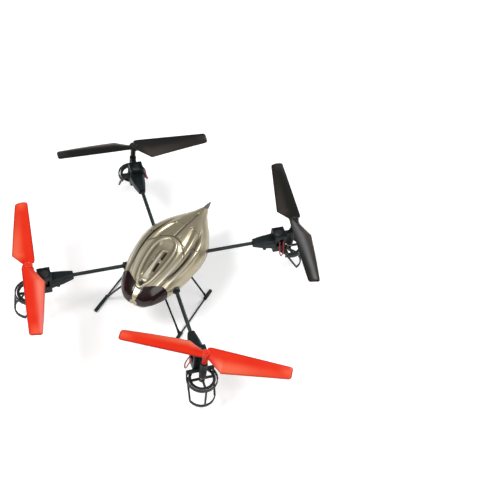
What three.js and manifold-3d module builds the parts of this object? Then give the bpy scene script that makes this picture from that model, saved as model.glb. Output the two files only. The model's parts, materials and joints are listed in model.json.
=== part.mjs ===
// A toy helicopter with a rotor at the end of each of its four arms. Millimetres, +Z up, nose towards -Y and
// +X to the right seen from the front. Heights are measured from the ground that the skids stand on. The last
// lines move the whole aircraft down, so that the origin is the middle of the flat underside of the battery box.
import * as THREE from 'three';
import { mergeVertices } from 'three/addons/utils/BufferGeometryUtils.js';
import Module from 'manifold-3d';

const wasm = await Module();
wasm.setup();

// ---- general ----
const FIT = 0.25; // gap round a piece that is pushed into another
const REST = 0.3; // gap between two faces that rest on each other
const RUNNING = 0.15; // gap round a turning shaft
const THROUGH = 1; // how far a cutter reaches past the face it cuts
const ROUND = 18; // sides of a larger round piece
const THIN = 10; // sides of a thin round piece
const ARC_STEPS = 8; // half the steps along an arc
const CENTRE = 0.01; // radius that stands for the axis in a turned profile

// ---- layout ----
const AXIS_SPACING = 163; // between neighbouring rotor axes
const ARM_HEIGHT = 44.4;
const ARM_DIAMETER = 3.2;
const ARM_ROOT = 16; // from the aircraft's middle to the arm's inner end
const ARM_INSERTION = 12; // length of arm inside the motor mount

// ---- rotor ----
const ROTOR_RADIUS = 68.5;
const ROTOR_HEIGHT = 66.5;
const ROOT_CHORD_RADIUS = 15; // where the blade is widest
const LEADING_OFFSET = 6;
const LEADING_TAPER = 0.86; // leading offset at the tip as a share of the one at the hub
const TRAILING_OFFSET = 12.8;
const TIP_CHORD = 10.5;
const NECK_CHORD = 9;
const BLADE_THICKNESS = 1.5;
const ROOT_PITCH = 24; // degrees
const TIP_PITCH = 8;
const HUB_RADIUS = 3.6;
const HUB_HEIGHT = 5;
const STEM_RADIUS = 2.3;
const STEM_GAP = 0.6; // from the motor mount's top to the rotor's stem
const HUB_CROWN = 1.2; // of the hub left above the shaft's bore
const SHAFT_SHORT = 1.5; // how far the shaft ends below the hub's top
const BLADE_CAMBER = 0.22;
const TIP_TRIM = 1.2; // how far the blade's corners are cut at the tip
const BLADE_RADII = [1.5, HUB_RADIUS, 7, 11, ROOT_CHORD_RADIUS, 24, 37, 52]; // sections before the tip
const BLADE_STATIONS = [0, 0.12, 0.4, 0.75, 1]; // points across a section, as shares of the chord

// ---- drive ----
const GEAR_MODULE = 0.4;
const GEAR_TEETH = 54;
const PINION_TEETH = 9;
const GEAR_THICKNESS = 1.6;
const GEAR_HEIGHT = 31.4; // middle of the gear's teeth
const GEAR_RIM = 1.5;
const GEAR_SPOKE_WIDTH = 1.7;
const GEAR_HUB_RADIUS = 2.6;
const GEAR_HUB_HEIGHT = 4.4;
const PINION_THICKNESS = 3;
const SHAFT_RADIUS = 0.75;
const MOTOR_SHAFT_RADIUS = 0.5;
const MOTOR_RADIUS = 3.8;
const MOTOR_LENGTH = 19;
const BUSH_WALL = 0.6;
const BUSH_GAP = 0.5; // between the gear's hub and the bush
const BUSH_FLANGE = 0.7;
const LEAD_RADIUS = 0.55;
const LEAD_STEPS = 14;
// The lead's loop: inboard of the motor's axis, out from the mount's side, and height.
const LEAD_PATH = [
  [0.6, 0, 47.5], [0.9, 2.4, 42], [0.4, 4.2, 36.5], [-1.2, 4.4, 33.4], [-2.6, 3.8, 36.5], [-3, 2.2, 42],
  [-2.8, 0, 47.5],
];
const MOTOR_BOSS_DEPTH = 3; // of the hole that the pinion's shaft enters
const MOTOR_EDGE = 0.4;
const PINION_SHAFT_DEPTH = 2.6; // of the pinion's shaft inside the motor
const TOOTH_SHARE = 0.5; // of a tooth and its space that the tooth's wide part takes
const TOOTH_ROOT = 0.78;
const TOOTH_TIP = 0.3;
const ADDENDUM = 0.85; // in modules
const DEDENDUM = 1.15;

// ---- motor mount ----
const MOUNT_TOP = 53.4;
const MOUNT_LENGTH = 36; // from the rotor axis inwards to the end that the arm enters
const MOUNT_WALL = 1.85; // round the motor
const SLEEVE_WALL = 1.3; // round the bush
const WEDGE_TIP_HALF_WIDTH = 2.9;
const WEDGE_HEIGHT = 6.4;
const WEDGE_CORNER = 0.35; // cut off each corner, as a share of the half width
const WEDGE_SHOULDER = 9; // from the wedge's tip to where it is nearly full width
const WEDGE_DEEPER = [2.2, 4]; // how far its belly sinks at the shoulder and at the block
const WEDGE_CREST = 0.2;
const WEDGE_OVERHANG = 0.6; // wedge's half width past the block's
const SHOULDER_HALF_WIDTH = 5.07;
const PEG_RADIUS = 1.6; // peg under the wedge
const PEG_LENGTH = 8.2;
const PEG_PLACE = 12.5; // from the wedge's tip
const WEB_HALF_WIDTH = 2; // web between the block and the sleeve
const WEB_SETBACK = 1.5;
const LIGHTENING_HALF = 2.9; // window through the block's sides
const LIGHTENING_BELOW = 3;
const LIGHTENING_ABOVE = 5;

// ---- gear guard ----
const GUARD_CLEARANCE = 0.7; // round the gear's tips
const GUARD_WALL = 1.1;
const GUARD_HEIGHT = 2.4;
const GUARD_HALF_ANGLE = 118; // degrees each side of outboard
const FOOT_HEIGHT = 11.8; // middle of the lower hoop
const FOOT_RADIUS = 11.3;
const FOOT_OFFSET = 2.5; // lower hoop's centre, outboard of the rotor axis
const FOOT_HALF_ANGLE = 68;
const GUARD_ROD_RADIUS = 0.9;
const BRIDGE_THICKNESS = 1.8;
const RISER_INNER = 1.3; // riser's reach each way from the upper hoop's ends
const RISER_OUTER = 1.2;
const ROD_SINK = 0.5; // how far a rod runs into a hoop
const GEAR_SPACE = 0.4; // free height under the upper hoop's lower face

// ---- canopy ----
const NOSE_Y = -53.4;
const TAIL_Y = 72;
const TAIL_TIP_LENGTH = 11.4;
const TAIL_TIP_RADIUS = 2.9;
const TAIL_TIP_POINT = 0.5;
const TAIL_TIP_DROOP = 0.4;
const TAIL_TIP_RISE = 0.6; // its axis above the waist line
const SPIGOT_RADIUS = 1.2;
const SPIGOT_LENGTH = 4;
const CANOPY_HALF_WIDTH = 29.6;
const CANOPY_RISE = 18.8; // crown above the waist line
const WAIST_HEIGHT = 42.4;
const LIP_HEIGHT = 38.2;
const LIP_TUCK = 0.86; // width at the lip as a share of the width at the waist
const LIP_BULGE = 0.03; // how far the skin bows out between waist and lip, as a share of the half width
const CANOPY_WALL = 1.2;
const CANOPY_SCREW_Y = -40.7;
const CANOPY_SCREW_HEAD = 1.8;
const SCREW_HEAD_TOP = 0.2; // below the crown
const SCREW_HEAD_BOTTOM = 1.4;
const SCREW_END = 8;
const SCREW_SHANK_RADIUS = 0.9;
const SCREW_SLOT_HALF = 0.25;
const SCREW_SLOT_REACH = 1.2;
const SCREW_SLOT_DEPTH = 0.5;
const STRIPE_HALF_WIDTH = 1.7; // bare stripe between the two windows
const WINDOW_SILL = 3; // window's lower edge above the lip
const WINDOW_SIDE_Y = -34; // window's rear edge: at the side, at its shoulder, at its bend and at the stripe
const WINDOW_SHOULDER = [20, -36];
const WINDOW_CONTROL = [14, -37];
const WINDOW_BEND = [11, -43];
const WINDOW_STRIPE_Y = -47.5;

// ---- battery box and battery ----
const BATTERY_WIDTH = 25;
const BATTERY_LENGTH = 46;
const BATTERY_HEIGHT = 7.6;
const BATTERY_REAR_Y = 18.4;
const BATTERY_CLEARANCE = 0.4;
const BATTERY_CHAMFER = 1.6;
const PLUG_HALF_WIDTH = 3;
const PLUG_HALF_HEIGHT = 2;
const PLUG_START = 3.5; // behind the battery
const PLUG_END = 9;
const PLUG_WIRE_RADIUS = 0.6;
const PLUG_WIRE_X = 1.5;
const BOX_WALL = 1.5;
const BOX_REAR_Y = 22;
const FLOOR_THICKNESS = 1.6;
const PLATE_MARGIN = 0.82; // floor plate's outline as a share of the canopy's waist
const PLATE_SHIFT = 1.656; // how far back the shrunken outline sits

// ---- centre frame and circuit board ----
const FRAME_RADIUS = 16;
const FRAME_SIDES = 8;
const FRAME_WALL = 4;
const FRAME_FLOOR = 2;
const SOCKET_ROOT = 13; // from the aircraft's middle to the socket's inner end
const POST_RADIUS = 1.5;
const POST_PLACE = 14; // from the aircraft's middle to a board post
const SOCKET_WALL = 1.5;
const SOCKET_REACH = 36.6; // from the aircraft's middle to the socket's mouth
const BOARD_WIDTH = 26;
const BOARD_LENGTH = 34;
const BOARD_THICKNESS = 1.2;
const BOARD_POST_HEIGHT = 2;
const BOARD_SINK = 0.2; // how far a component is let into the board
// Components: low x, high x, low y, high y and height above the board.
const BOARD_COMPONENTS = [[-5, 5, -6, 4, 1.4], [-9, -4, 8, 13, 1.2], [4, 10, 7, 12, 2], [-4, 4, -15, -11, 3]];

// ---- landing gear ----
const SKID_SPACING = 74.4;
const SKID_FRONT_Y = -51.5;
const SKID_REAR_Y = 21.2;
const SKID_RADIUS = 0.75;
const SKID_SLEEVE_RADIUS = 1.6;
const STRUT_RADIUS = 0.85;
const STRUT_ROOT_RADIUS = 1.45;
const STRUT_ROOT_SHARE = 0.2; // length of the thick root as a share of the strut
const STRUT_OVERLAP_SHARE = 0.15;
const SLEEVE_OVERRUN = 3; // sleeve's length past the strut's foot
const PAD_RADIUS = 2.2;
const PAD_THICKNESS = 1.6;
const LEGS = [
  { name: 'front', footY: -35.2, endY: SKID_FRONT_Y, topX: 17, topY: -29.5 },
  { name: 'rear', footY: 12.8, endY: SKID_REAR_Y, topX: 21.6, topY: 3.5 },
];

// ---- sizes that follow ----
const DIAGONAL = AXIS_SPACING / Math.SQRT2; // from the aircraft's middle to a rotor axis
const GEAR_PITCH_RADIUS = (GEAR_MODULE * GEAR_TEETH) / 2;
const PINION_PITCH_RADIUS = (GEAR_MODULE * PINION_TEETH) / 2;
const GEAR_CENTRES = GEAR_PITCH_RADIUS + PINION_PITCH_RADIUS;
const GEAR_TIP_RADIUS = GEAR_PITCH_RADIUS + GEAR_MODULE;
const GUARD_INNER_RADIUS = GEAR_TIP_RADIUS + GUARD_CLEARANCE;
const GUARD_OUTER_RADIUS = GUARD_INNER_RADIUS + GUARD_WALL;
const GEAR_HUB_TOP = GEAR_HEIGHT + GEAR_THICKNESS / 2 + (GEAR_HUB_HEIGHT - GEAR_THICKNESS) / 2;
const BRIDGE_BOTTOM = GEAR_HUB_TOP + REST;
const BRIDGE_TOP = BRIDGE_BOTTOM + BRIDGE_THICKNESS;
const MOUNT_BOTTOM = BRIDGE_TOP + REST;
const MOTOR_BOTTOM = BRIDGE_BOTTOM + REST;
const MOTOR_TOP = MOTOR_BOTTOM + MOTOR_LENGTH;
const BLOCK_HALF_WIDTH = MOTOR_RADIUS + FIT + MOUNT_WALL;
const BLOCK_INNER = -GEAR_CENTRES - BLOCK_HALF_WIDTH + THROUGH;
const BLOCK_OUTER = -GEAR_CENTRES + BLOCK_HALF_WIDTH;
const BUSH_RADIUS = SHAFT_RADIUS + RUNNING + BUSH_WALL;
const SLEEVE_RADIUS = BUSH_RADIUS + FIT + SLEEVE_WALL;
const BUSH_FLANGE_BOTTOM = GEAR_HUB_TOP + BUSH_GAP;
const BUSH_FLANGE_TOP = BUSH_FLANGE_BOTTOM + BUSH_FLANGE;
const SLEEVE_BOTTOM = BUSH_FLANGE_TOP + REST;
const STEM_BOTTOM = MOUNT_TOP + STEM_GAP;
const PLATE_TOP = LIP_HEIGHT - REST;
const PLATE_BOTTOM = PLATE_TOP - FLOOR_THICKNESS;
const BATTERY_TOP = PLATE_BOTTOM - BATTERY_CLEARANCE;
const BATTERY_BOTTOM = BATTERY_TOP - BATTERY_HEIGHT;
const BAY_BOTTOM = BATTERY_BOTTOM - BATTERY_CLEARANCE;
const BOX_BOTTOM = BAY_BOTTOM - BOX_WALL;
const BAY_HALF_WIDTH = BATTERY_WIDTH / 2 + BATTERY_CLEARANCE;
const BAY_FRONT_Y = BATTERY_REAR_Y - BATTERY_LENGTH - BATTERY_CLEARANCE;
const SOCKET_RADIUS = ARM_DIAMETER / 2 + FIT + SOCKET_WALL;
const FRAME_TOP = ARM_HEIGHT + SOCKET_RADIUS;
const FRAME_BOTTOM = ARM_HEIGHT - SOCKET_RADIUS;
const BOARD_BOTTOM = FRAME_TOP + BOARD_POST_HEIGHT + REST;

// ---- finishes ----
const BLACK = { color: 0x1f2628, roughness: 0.42, metalness: 0 };
const RED = { color: 0xe02a12, roughness: 0.35, metalness: 0 };
const CHARCOAL = { color: 0x2a2c2b, roughness: 0.35, metalness: 0 };
const CHAMPAGNE = { color: 0xa99d7c, roughness: 0.32, metalness: 0.6 };
const TINTED = { color: 0x201513, roughness: 0.12, metalness: 0 };
const STEEL = { color: 0xa8a9ab, roughness: 0.3, metalness: 1 };
const BRASS = { color: 0xb08d4a, roughness: 0.35, metalness: 1 };
const BOARD_GREEN = { color: 0x1d5a38, roughness: 0.5, metalness: 0 };
const FOIL = { color: 0x9aa0a6, roughness: 0.35, metalness: 0.5 };
const RED_WIRE = { color: 0xb01822, roughness: 0.45, metalness: 0 };
const NATURAL = { color: 0xe8e4d8, roughness: 0.5, metalness: 0 };
const GREY = { color: 0x56525c, roughness: 0.4, metalness: 0.2 };

// ---- shape helpers ----
function solid(geometry) {
  const bare = geometry.clone();
  bare.deleteAttribute('normal');
  bare.deleteAttribute('uv');
  const merged = mergeVertices(bare, 1e-4);
  return new wasm.Manifold(new wasm.Mesh({
    numProp: 3,
    vertProperties: merged.attributes.position.array,
    triVerts: new Uint32Array(merged.index.array),
  }));
}

function geometryOf(manifold) {
  const mesh = manifold.getMesh();
  const geometry = new THREE.BufferGeometry();
  geometry.setAttribute('position', new THREE.BufferAttribute(mesh.vertProperties, 3));
  geometry.setIndex(new THREE.BufferAttribute(mesh.triVerts, 1));
  geometry.computeVertexNormals();
  return geometry;
}

function join(...solids) {
  return solids.reduce((whole, piece) => whole.add(piece));
}

function upright(radius, bottom, top, x = 0, y = 0, sides = THIN) {
  const geometry = new THREE.CylinderGeometry(radius, radius, top - bottom, sides);
  geometry.rotateX(Math.PI / 2);
  geometry.translate(x, y, (bottom + top) / 2);
  return solid(geometry);
}

function block(lowX, highX, lowY, highY, bottom, top) {
  const geometry = new THREE.BoxGeometry(highX - lowX, highY - lowY, top - bottom);
  geometry.translate((lowX + highX) / 2, (lowY + highY) / 2, (bottom + top) / 2);
  return solid(geometry);
}

// A straight round bar between two points, with its own radius at each end.
function bar(start, end, startRadius, endRadius = startRadius, sides = THIN) {
  const along = end.clone().sub(start);
  const geometry = new THREE.CylinderGeometry(endRadius, startRadius, along.length(), sides);
  const turn = new THREE.Quaternion().setFromUnitVectors(new THREE.Vector3(0, 1, 0), along.normalize());
  geometry.applyQuaternion(turn);
  const middle = start.clone().add(end).multiplyScalar(0.5);
  geometry.translate(middle.x, middle.y, middle.z);
  return solid(geometry);
}

function slab(outline, bottom, top, curveSegments = ARC_STEPS) {
  const geometry = new THREE.ExtrudeGeometry(outline, {
    depth: top - bottom,
    bevelEnabled: false,
    curveSegments,
  });
  geometry.translate(0, 0, bottom);
  return solid(geometry);
}

// A piece turned on a lathe about Z: its profile is a closed loop of [radius, height] points.
function turned(profile, sides = ROUND) {
  const loop = [...profile, profile[0]].map(([radius, height]) => new THREE.Vector2(radius, height));
  const geometry = new THREE.LatheGeometry(loop, sides);
  geometry.rotateX(Math.PI / 2);
  return solid(geometry);
}

// A skin through closed rings of points, each ring anticlockwise seen from the last one, capped at both ends.
function loft(rings) {
  const count = rings[0].length;
  const points = rings.flat();
  const index = [];
  for (let ring = 0; ring < rings.length - 1; ring += 1) {
    for (let i = 0; i < count; i += 1) {
      const next = (i + 1) % count;
      const a = ring * count + i;
      const b = ring * count + next;
      index.push(a, b, b + count, a, b + count, a + count);
    }
  }
  const firstMiddle = points.length;
  const lastMiddle = firstMiddle + 1;
  points.push(middleOf(rings[0]), middleOf(rings[rings.length - 1]));
  const lastStart = (rings.length - 1) * count;
  for (let i = 0; i < count; i += 1) {
    const next = (i + 1) % count;
    index.push(firstMiddle, next, i);
    index.push(lastMiddle, lastStart + i, lastStart + next);
  }
  const geometry = new THREE.BufferGeometry().setFromPoints(points);
  geometry.setIndex(index);
  return solid(geometry);
}

function middleOf(points) {
  const middle = new THREE.Vector3();
  points.forEach((point) => middle.add(point));
  return middle.divideScalar(points.length);
}

// A smooth value along a length, through [place, value] points.
function profile(points) {
  const places = points.map((point) => point[0]);
  const values = points.map((point) => point[1]);
  const curve = new THREE.CubicInterpolant(places, values, 1);
  return (place) => curve.evaluate(place)[0];
}

// Part of a flat hoop between two radii, from one angle to another, in degrees from +X.
function hoop(innerRadius, outerRadius, fromAngle, toAngle, bottom, top, x = 0) {
  const from = THREE.MathUtils.degToRad(fromAngle);
  const to = THREE.MathUtils.degToRad(toAngle);
  const outline = new THREE.Shape();
  outline.absarc(x, 0, outerRadius, from, to, false);
  outline.absarc(x, 0, innerRadius, to, from, true);
  return slab(outline, bottom, top, ARC_STEPS);
}

// ---- canopy, windows and tail tip ----
const widthShape = profile([
  [0, 0.14], [0.02, 0.32], [0.05, 0.47], [0.1, 0.62], [0.17, 0.75], [0.27, 0.88], [0.39, 0.96], [0.51, 1],
  [0.61, 0.96], [0.7, 0.83], [0.79, 0.63], [0.89, 0.36], [0.95, 0.21], [1, 0.12],
]);
const crownShape = profile([
  [0, 0.24], [0.03, 0.42], [0.09, 0.66], [0.17, 0.85], [0.3, 0.98], [0.42, 1], [0.54, 0.92], [0.67, 0.73],
  [0.8, 0.48], [0.9, 0.3], [1, 0.16],
]);
const waistDrop = profile([[0, 0], [0.5, 0.3], [0.8, 1.5], [1, 3.4]]);
const SECTION_POWER = 2.2;
const CANOPY_STATIONS = 16;
const HALF_SECTION_STEPS = 7;

// Right half of the canopy's section at a share of its length, inset by a wall, from the crown to the lip.
function halfSection(share, inset, lipHeight) {
  const waist = WAIST_HEIGHT - waistDrop(share);
  const halfWidth = CANOPY_HALF_WIDTH * widthShape(share) - inset;
  const rise = CANOPY_RISE * crownShape(share) - inset;
  const points = [];
  for (let step = 0; step <= HALF_SECTION_STEPS; step += 1) {
    const angle = (step / HALF_SECTION_STEPS) * (Math.PI / 2);
    const x = halfWidth * Math.sin(angle) ** (2 / SECTION_POWER);
    const z = waist + rise * Math.cos(angle) ** (2 / SECTION_POWER);
    points.push(new THREE.Vector2(x, z));
  }
  points.push(new THREE.Vector2(halfWidth * ((1 + LIP_TUCK) / 2 + LIP_BULGE), (waist + lipHeight) / 2));
  points.push(new THREE.Vector2(halfWidth * LIP_TUCK, lipHeight));
  return points;
}

function canopyForm(inset, lipHeight) {
  const length = TAIL_Y - NOSE_Y;
  const rings = [];
  for (let station = 0; station <= CANOPY_STATIONS; station += 1) {
    const share = (1 - Math.cos((station / CANOPY_STATIONS) * Math.PI)) / 2;
    const y = THREE.MathUtils.clamp(NOSE_Y + share * length, NOSE_Y + inset, TAIL_Y - inset);
    const right = halfSection(share, inset, lipHeight);
    const left = right.slice(1).reverse();
    rings.push([
      ...right.map((point) => new THREE.Vector3(point.x, y, point.y)),
      ...left.map((point) => new THREE.Vector3(-point.x, y, point.y)),
    ]);
  }
  return loft(rings);
}

// Plan of one window's edge, from the stripe round to the side of the nose.
function windowCutter(side, gap) {
  const outline = new THREE.Shape();
  const inner = STRIPE_HALF_WIDTH + gap;
  outline.moveTo(inner, NOSE_Y - THROUGH);
  outline.lineTo(CANOPY_HALF_WIDTH, NOSE_Y - THROUGH);
  outline.lineTo(CANOPY_HALF_WIDTH, WINDOW_SIDE_Y - gap);
  outline.lineTo(WINDOW_SHOULDER[0], WINDOW_SHOULDER[1] - gap);
  outline.quadraticCurveTo(WINDOW_CONTROL[0], WINDOW_CONTROL[1] - gap, WINDOW_BEND[0], WINDOW_BEND[1] - gap);
  outline.lineTo(inner, WINDOW_STRIPE_Y - gap);
  outline.closePath();
  const cutter = slab(outline, LIP_HEIGHT + WINDOW_SILL + gap, WAIST_HEIGHT + CANOPY_RISE);
  return side > 0 ? cutter : cutter.mirror([1, 0, 0]);
}

function canopyShell() {
  const outer = canopyForm(0, LIP_HEIGHT);
  const inner = canopyForm(CANOPY_WALL, LIP_HEIGHT - THROUGH);
  return outer.subtract(inner);
}

function canopy() {
  let shell = canopyShell();
  [1, -1].forEach((side) => {
    shell = shell.subtract(windowCutter(side, 0));
  });
  cornerAngles().forEach((angle) => {
    const outward = new THREE.Vector3(Math.cos(angle), Math.sin(angle), 0);
    const reach = outward.clone().multiplyScalar(SOCKET_REACH + CANOPY_HALF_WIDTH);
    const height = new THREE.Vector3(0, 0, ARM_HEIGHT);
    const radius = SOCKET_RADIUS + REST;
    shell = shell.subtract(bar(height, reach.clone().add(height), radius));
    const slot = block(0, reach.length(), -radius, radius, LIP_HEIGHT - THROUGH, ARM_HEIGHT);
    shell = shell.subtract(slot.rotate([0, 0, THREE.MathUtils.radToDeg(angle)]));
  });
  const top = WAIST_HEIGHT + CANOPY_RISE;
  shell = shell.subtract(upright(CANOPY_SCREW_HEAD + FIT, WAIST_HEIGHT, top, 0, CANOPY_SCREW_Y));
  const tail = new THREE.Vector3(0, TAIL_Y + THROUGH, tailHeight());
  const hole = bar(tail, tail.clone().setY(TAIL_Y - CANOPY_WALL - THROUGH), SPIGOT_RADIUS + FIT);
  return shell.subtract(hole);
}

function windowPane(side) {
  return canopyShell().intersect(windowCutter(side, REST));
}

function tailHeight() {
  return WAIST_HEIGHT - waistDrop(1) + TAIL_TIP_RISE;
}

function tailTip() {
  const start = new THREE.Vector3(0, TAIL_Y + REST, tailHeight());
  const end = new THREE.Vector3(0, TAIL_Y + TAIL_TIP_LENGTH, tailHeight() - TAIL_TIP_DROOP);
  const spike = bar(start, end, TAIL_TIP_RADIUS, TAIL_TIP_POINT);
  const spigotStart = start.clone().setY(TAIL_Y - SPIGOT_LENGTH);
  const spigot = bar(spigotStart, start.clone().setY(TAIL_Y + THROUGH), SPIGOT_RADIUS);
  return join(spike, spigot);
}

function canopyScrew() {
  const crown = WAIST_HEIGHT + CANOPY_RISE * crownShape((CANOPY_SCREW_Y - NOSE_Y) / (TAIL_Y - NOSE_Y));
  const top = crown - SCREW_HEAD_TOP;
  const middle = (crown - SCREW_HEAD_BOTTOM + top) / 2;
  const head = upright(CANOPY_SCREW_HEAD, crown - SCREW_HEAD_BOTTOM, top, 0, CANOPY_SCREW_Y);
  const shank = upright(SCREW_SHANK_RADIUS, crown - SCREW_END, middle, 0, CANOPY_SCREW_Y);
  const slotBack = CANOPY_SCREW_Y + SCREW_SLOT_REACH;
  const slotFront = CANOPY_SCREW_Y - SCREW_SLOT_REACH;
  const slot = block(-SCREW_SLOT_HALF, SCREW_SLOT_HALF, slotFront, slotBack, top - SCREW_SLOT_DEPTH, crown);
  return join(head, shank).subtract(slot);
}

// ---- battery box, battery, frame and board ----
function waistOutline(scale) {
  const length = TAIL_Y - NOSE_Y;
  const right = [];
  for (let step = 0; step <= CANOPY_STATIONS; step += 1) {
    const share = step / CANOPY_STATIONS;
    const y = (NOSE_Y + share * length) * scale + PLATE_SHIFT;
    right.push(new THREE.Vector2(CANOPY_HALF_WIDTH * widthShape(share) * scale, y));
  }
  const left = right.map((point) => new THREE.Vector2(-point.x, point.y)).reverse();
  return new THREE.Shape([...right, ...left]);
}

function batteryBox() {
  const plate = slab(waistOutline(PLATE_MARGIN), PLATE_BOTTOM, PLATE_TOP);
  const halfWidth = BAY_HALF_WIDTH + BOX_WALL;
  const boxTop = PLATE_TOP - THROUGH;
  const box = block(-halfWidth, halfWidth, BAY_FRONT_Y - BOX_WALL, BOX_REAR_Y, BOX_BOTTOM, boxTop);
  const bayEnd = BOX_REAR_Y + THROUGH;
  const bay = block(-BAY_HALF_WIDTH, BAY_HALF_WIDTH, BAY_FRONT_Y, bayEnd, BAY_BOTTOM, PLATE_BOTTOM);
  return join(plate, box).subtract(bay);
}

function battery() {
  const chamfer = BATTERY_CHAMFER;
  const halfWidth = BATTERY_WIDTH / 2;
  const frontY = BATTERY_REAR_Y - BATTERY_LENGTH;
  const outline = [
    [halfWidth - chamfer, BATTERY_TOP], [halfWidth, BATTERY_TOP - chamfer],
    [halfWidth, BATTERY_BOTTOM + chamfer], [halfWidth - chamfer, BATTERY_BOTTOM],
  ];
  const around = [...outline, ...outline.map(([x, z]) => [-x, z]).reverse()];
  const ring = (y) => around.map(([x, z]) => new THREE.Vector3(x, y, z));
  return loft([ring(frontY), ring(BATTERY_REAR_Y)]);
}

function batteryPlug() {
  const height = (BATTERY_TOP + BATTERY_BOTTOM) / 2;
  const start = BATTERY_REAR_Y + REST;
  const low = height - PLUG_HALF_HEIGHT;
  const high = height + PLUG_HALF_HEIGHT;
  const wires = [-PLUG_WIRE_X, PLUG_WIRE_X].map((x) => {
    const from = new THREE.Vector3(x, start, height);
    return bar(from, from.clone().setY(start + PLUG_START + THROUGH), PLUG_WIRE_RADIUS);
  });
  const body = block(-PLUG_HALF_WIDTH, PLUG_HALF_WIDTH, start + PLUG_START, start + PLUG_END, low, high);
  return join(body, ...wires);
}

function centreFrame() {
  let frame = upright(FRAME_RADIUS, FRAME_BOTTOM, FRAME_TOP, 0, 0, FRAME_SIDES);
  const innerRadius = FRAME_RADIUS - FRAME_WALL;
  const inner = upright(innerRadius, FRAME_BOTTOM + FRAME_FLOOR, FRAME_TOP + THROUGH, 0, 0, FRAME_SIDES);
  frame = frame.subtract(inner);
  const height = new THREE.Vector3(0, 0, ARM_HEIGHT);
  cornerAngles().forEach((angle) => {
    const outward = new THREE.Vector3(Math.cos(angle), Math.sin(angle), 0);
    const root = outward.clone().multiplyScalar(SOCKET_ROOT).add(height);
    const mouth = outward.clone().multiplyScalar(SOCKET_REACH).add(height);
    frame = frame.add(bar(root, mouth, SOCKET_RADIUS));
    const post = outward.clone().multiplyScalar(POST_PLACE);
    const postTop = FRAME_TOP + BOARD_POST_HEIGHT;
    frame = frame.add(upright(POST_RADIUS, FRAME_BOTTOM + THROUGH, postTop, post.x, post.y));
  });
  cornerAngles().forEach((angle) => {
    const outward = new THREE.Vector3(Math.cos(angle), Math.sin(angle), 0);
    const root = outward.clone().multiplyScalar(ARM_ROOT - REST).add(height);
    const mouth = outward.clone().multiplyScalar(SOCKET_REACH + THROUGH).add(height);
    frame = frame.subtract(bar(root, mouth, ARM_DIAMETER / 2 + FIT));
  });
  return frame;
}

function circuitBoard() {
  const halfWidth = BOARD_WIDTH / 2;
  const halfLength = BOARD_LENGTH / 2;
  const top = BOARD_BOTTOM + BOARD_THICKNESS;
  const components = BOARD_COMPONENTS.map(([lowX, highX, lowY, highY, height]) => (
    block(lowX, highX, lowY, highY, top - BOARD_SINK, top + height)
  ));
  return join(block(-halfWidth, halfWidth, -halfLength, halfLength, BOARD_BOTTOM, top), ...components);
}

// ---- pieces at each rotor: +X is outboard along the arm, the origin is on the rotor axis at the ground ----
function arm() {
  const inner = new THREE.Vector3(ARM_ROOT - DIAGONAL, 0, ARM_HEIGHT);
  const outer = new THREE.Vector3(ARM_INSERTION - MOUNT_LENGTH, 0, ARM_HEIGHT);
  return bar(inner, outer, ARM_DIAMETER / 2);
}

// Section of the wedge across the arm: a rectangle with its corners cut off.
function wedgeSection(x, halfWidth, bottom, top) {
  const corner = halfWidth * WEDGE_CORNER;
  const right = [
    [halfWidth - corner, bottom], [halfWidth, bottom + corner],
    [halfWidth, top - corner], [halfWidth - corner, top],
  ];
  const around = [...right, ...right.map(([y, z]) => [-y, z]).reverse()];
  return around.map(([y, z]) => new THREE.Vector3(x, y, z));
}

function motorMount() {
  const tipBottom = ARM_HEIGHT - WEDGE_HEIGHT / 2;
  const tipTop = ARM_HEIGHT + WEDGE_HEIGHT / 2;
  const crest = tipTop + WEDGE_CREST;
  const wedge = loft([
    wedgeSection(-MOUNT_LENGTH, WEDGE_TIP_HALF_WIDTH, tipBottom, tipTop),
    wedgeSection(WEDGE_SHOULDER - MOUNT_LENGTH, SHOULDER_HALF_WIDTH, tipBottom - WEDGE_DEEPER[0], crest),
    wedgeSection(BLOCK_INNER + THROUGH, BLOCK_HALF_WIDTH + WEDGE_OVERHANG, tipBottom - WEDGE_DEEPER[1], crest),
  ]);
  const webBottom = MOUNT_BOTTOM + WEB_SETBACK;
  const body = join(
    wedge,
    block(BLOCK_INNER, BLOCK_OUTER, -BLOCK_HALF_WIDTH, BLOCK_HALF_WIDTH, MOUNT_BOTTOM, MOUNT_TOP),
    block(BLOCK_OUTER - THROUGH, 0, -WEB_HALF_WIDTH, WEB_HALF_WIDTH, webBottom, MOUNT_TOP - WEB_SETBACK),
    upright(SLEEVE_RADIUS, SLEEVE_BOTTOM, MOUNT_TOP),
    upright(PEG_RADIUS, tipBottom - PEG_LENGTH, tipBottom, PEG_PLACE - MOUNT_LENGTH),
  );
  const armStart = new THREE.Vector3(-MOUNT_LENGTH - THROUGH, 0, ARM_HEIGHT);
  const armEnd = new THREE.Vector3(ARM_INSERTION - MOUNT_LENGTH + REST, 0, ARM_HEIGHT);
  const side = BLOCK_HALF_WIDTH + THROUGH;
  const inner = -GEAR_CENTRES - LIGHTENING_HALF;
  const outer = -GEAR_CENTRES + LIGHTENING_HALF;
  const low = ARM_HEIGHT - LIGHTENING_BELOW;
  return body
    .subtract(upright(MOTOR_RADIUS + FIT, 0, MOUNT_TOP + THROUGH, -GEAR_CENTRES, 0, ROUND))
    .subtract(upright(BUSH_RADIUS + FIT, 0, MOUNT_TOP + THROUGH))
    .subtract(block(inner, outer, -side, side, low, ARM_HEIGHT + LIGHTENING_ABOVE))
    .subtract(bar(armStart, armEnd, ARM_DIAMETER / 2 + FIT));
}

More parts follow.
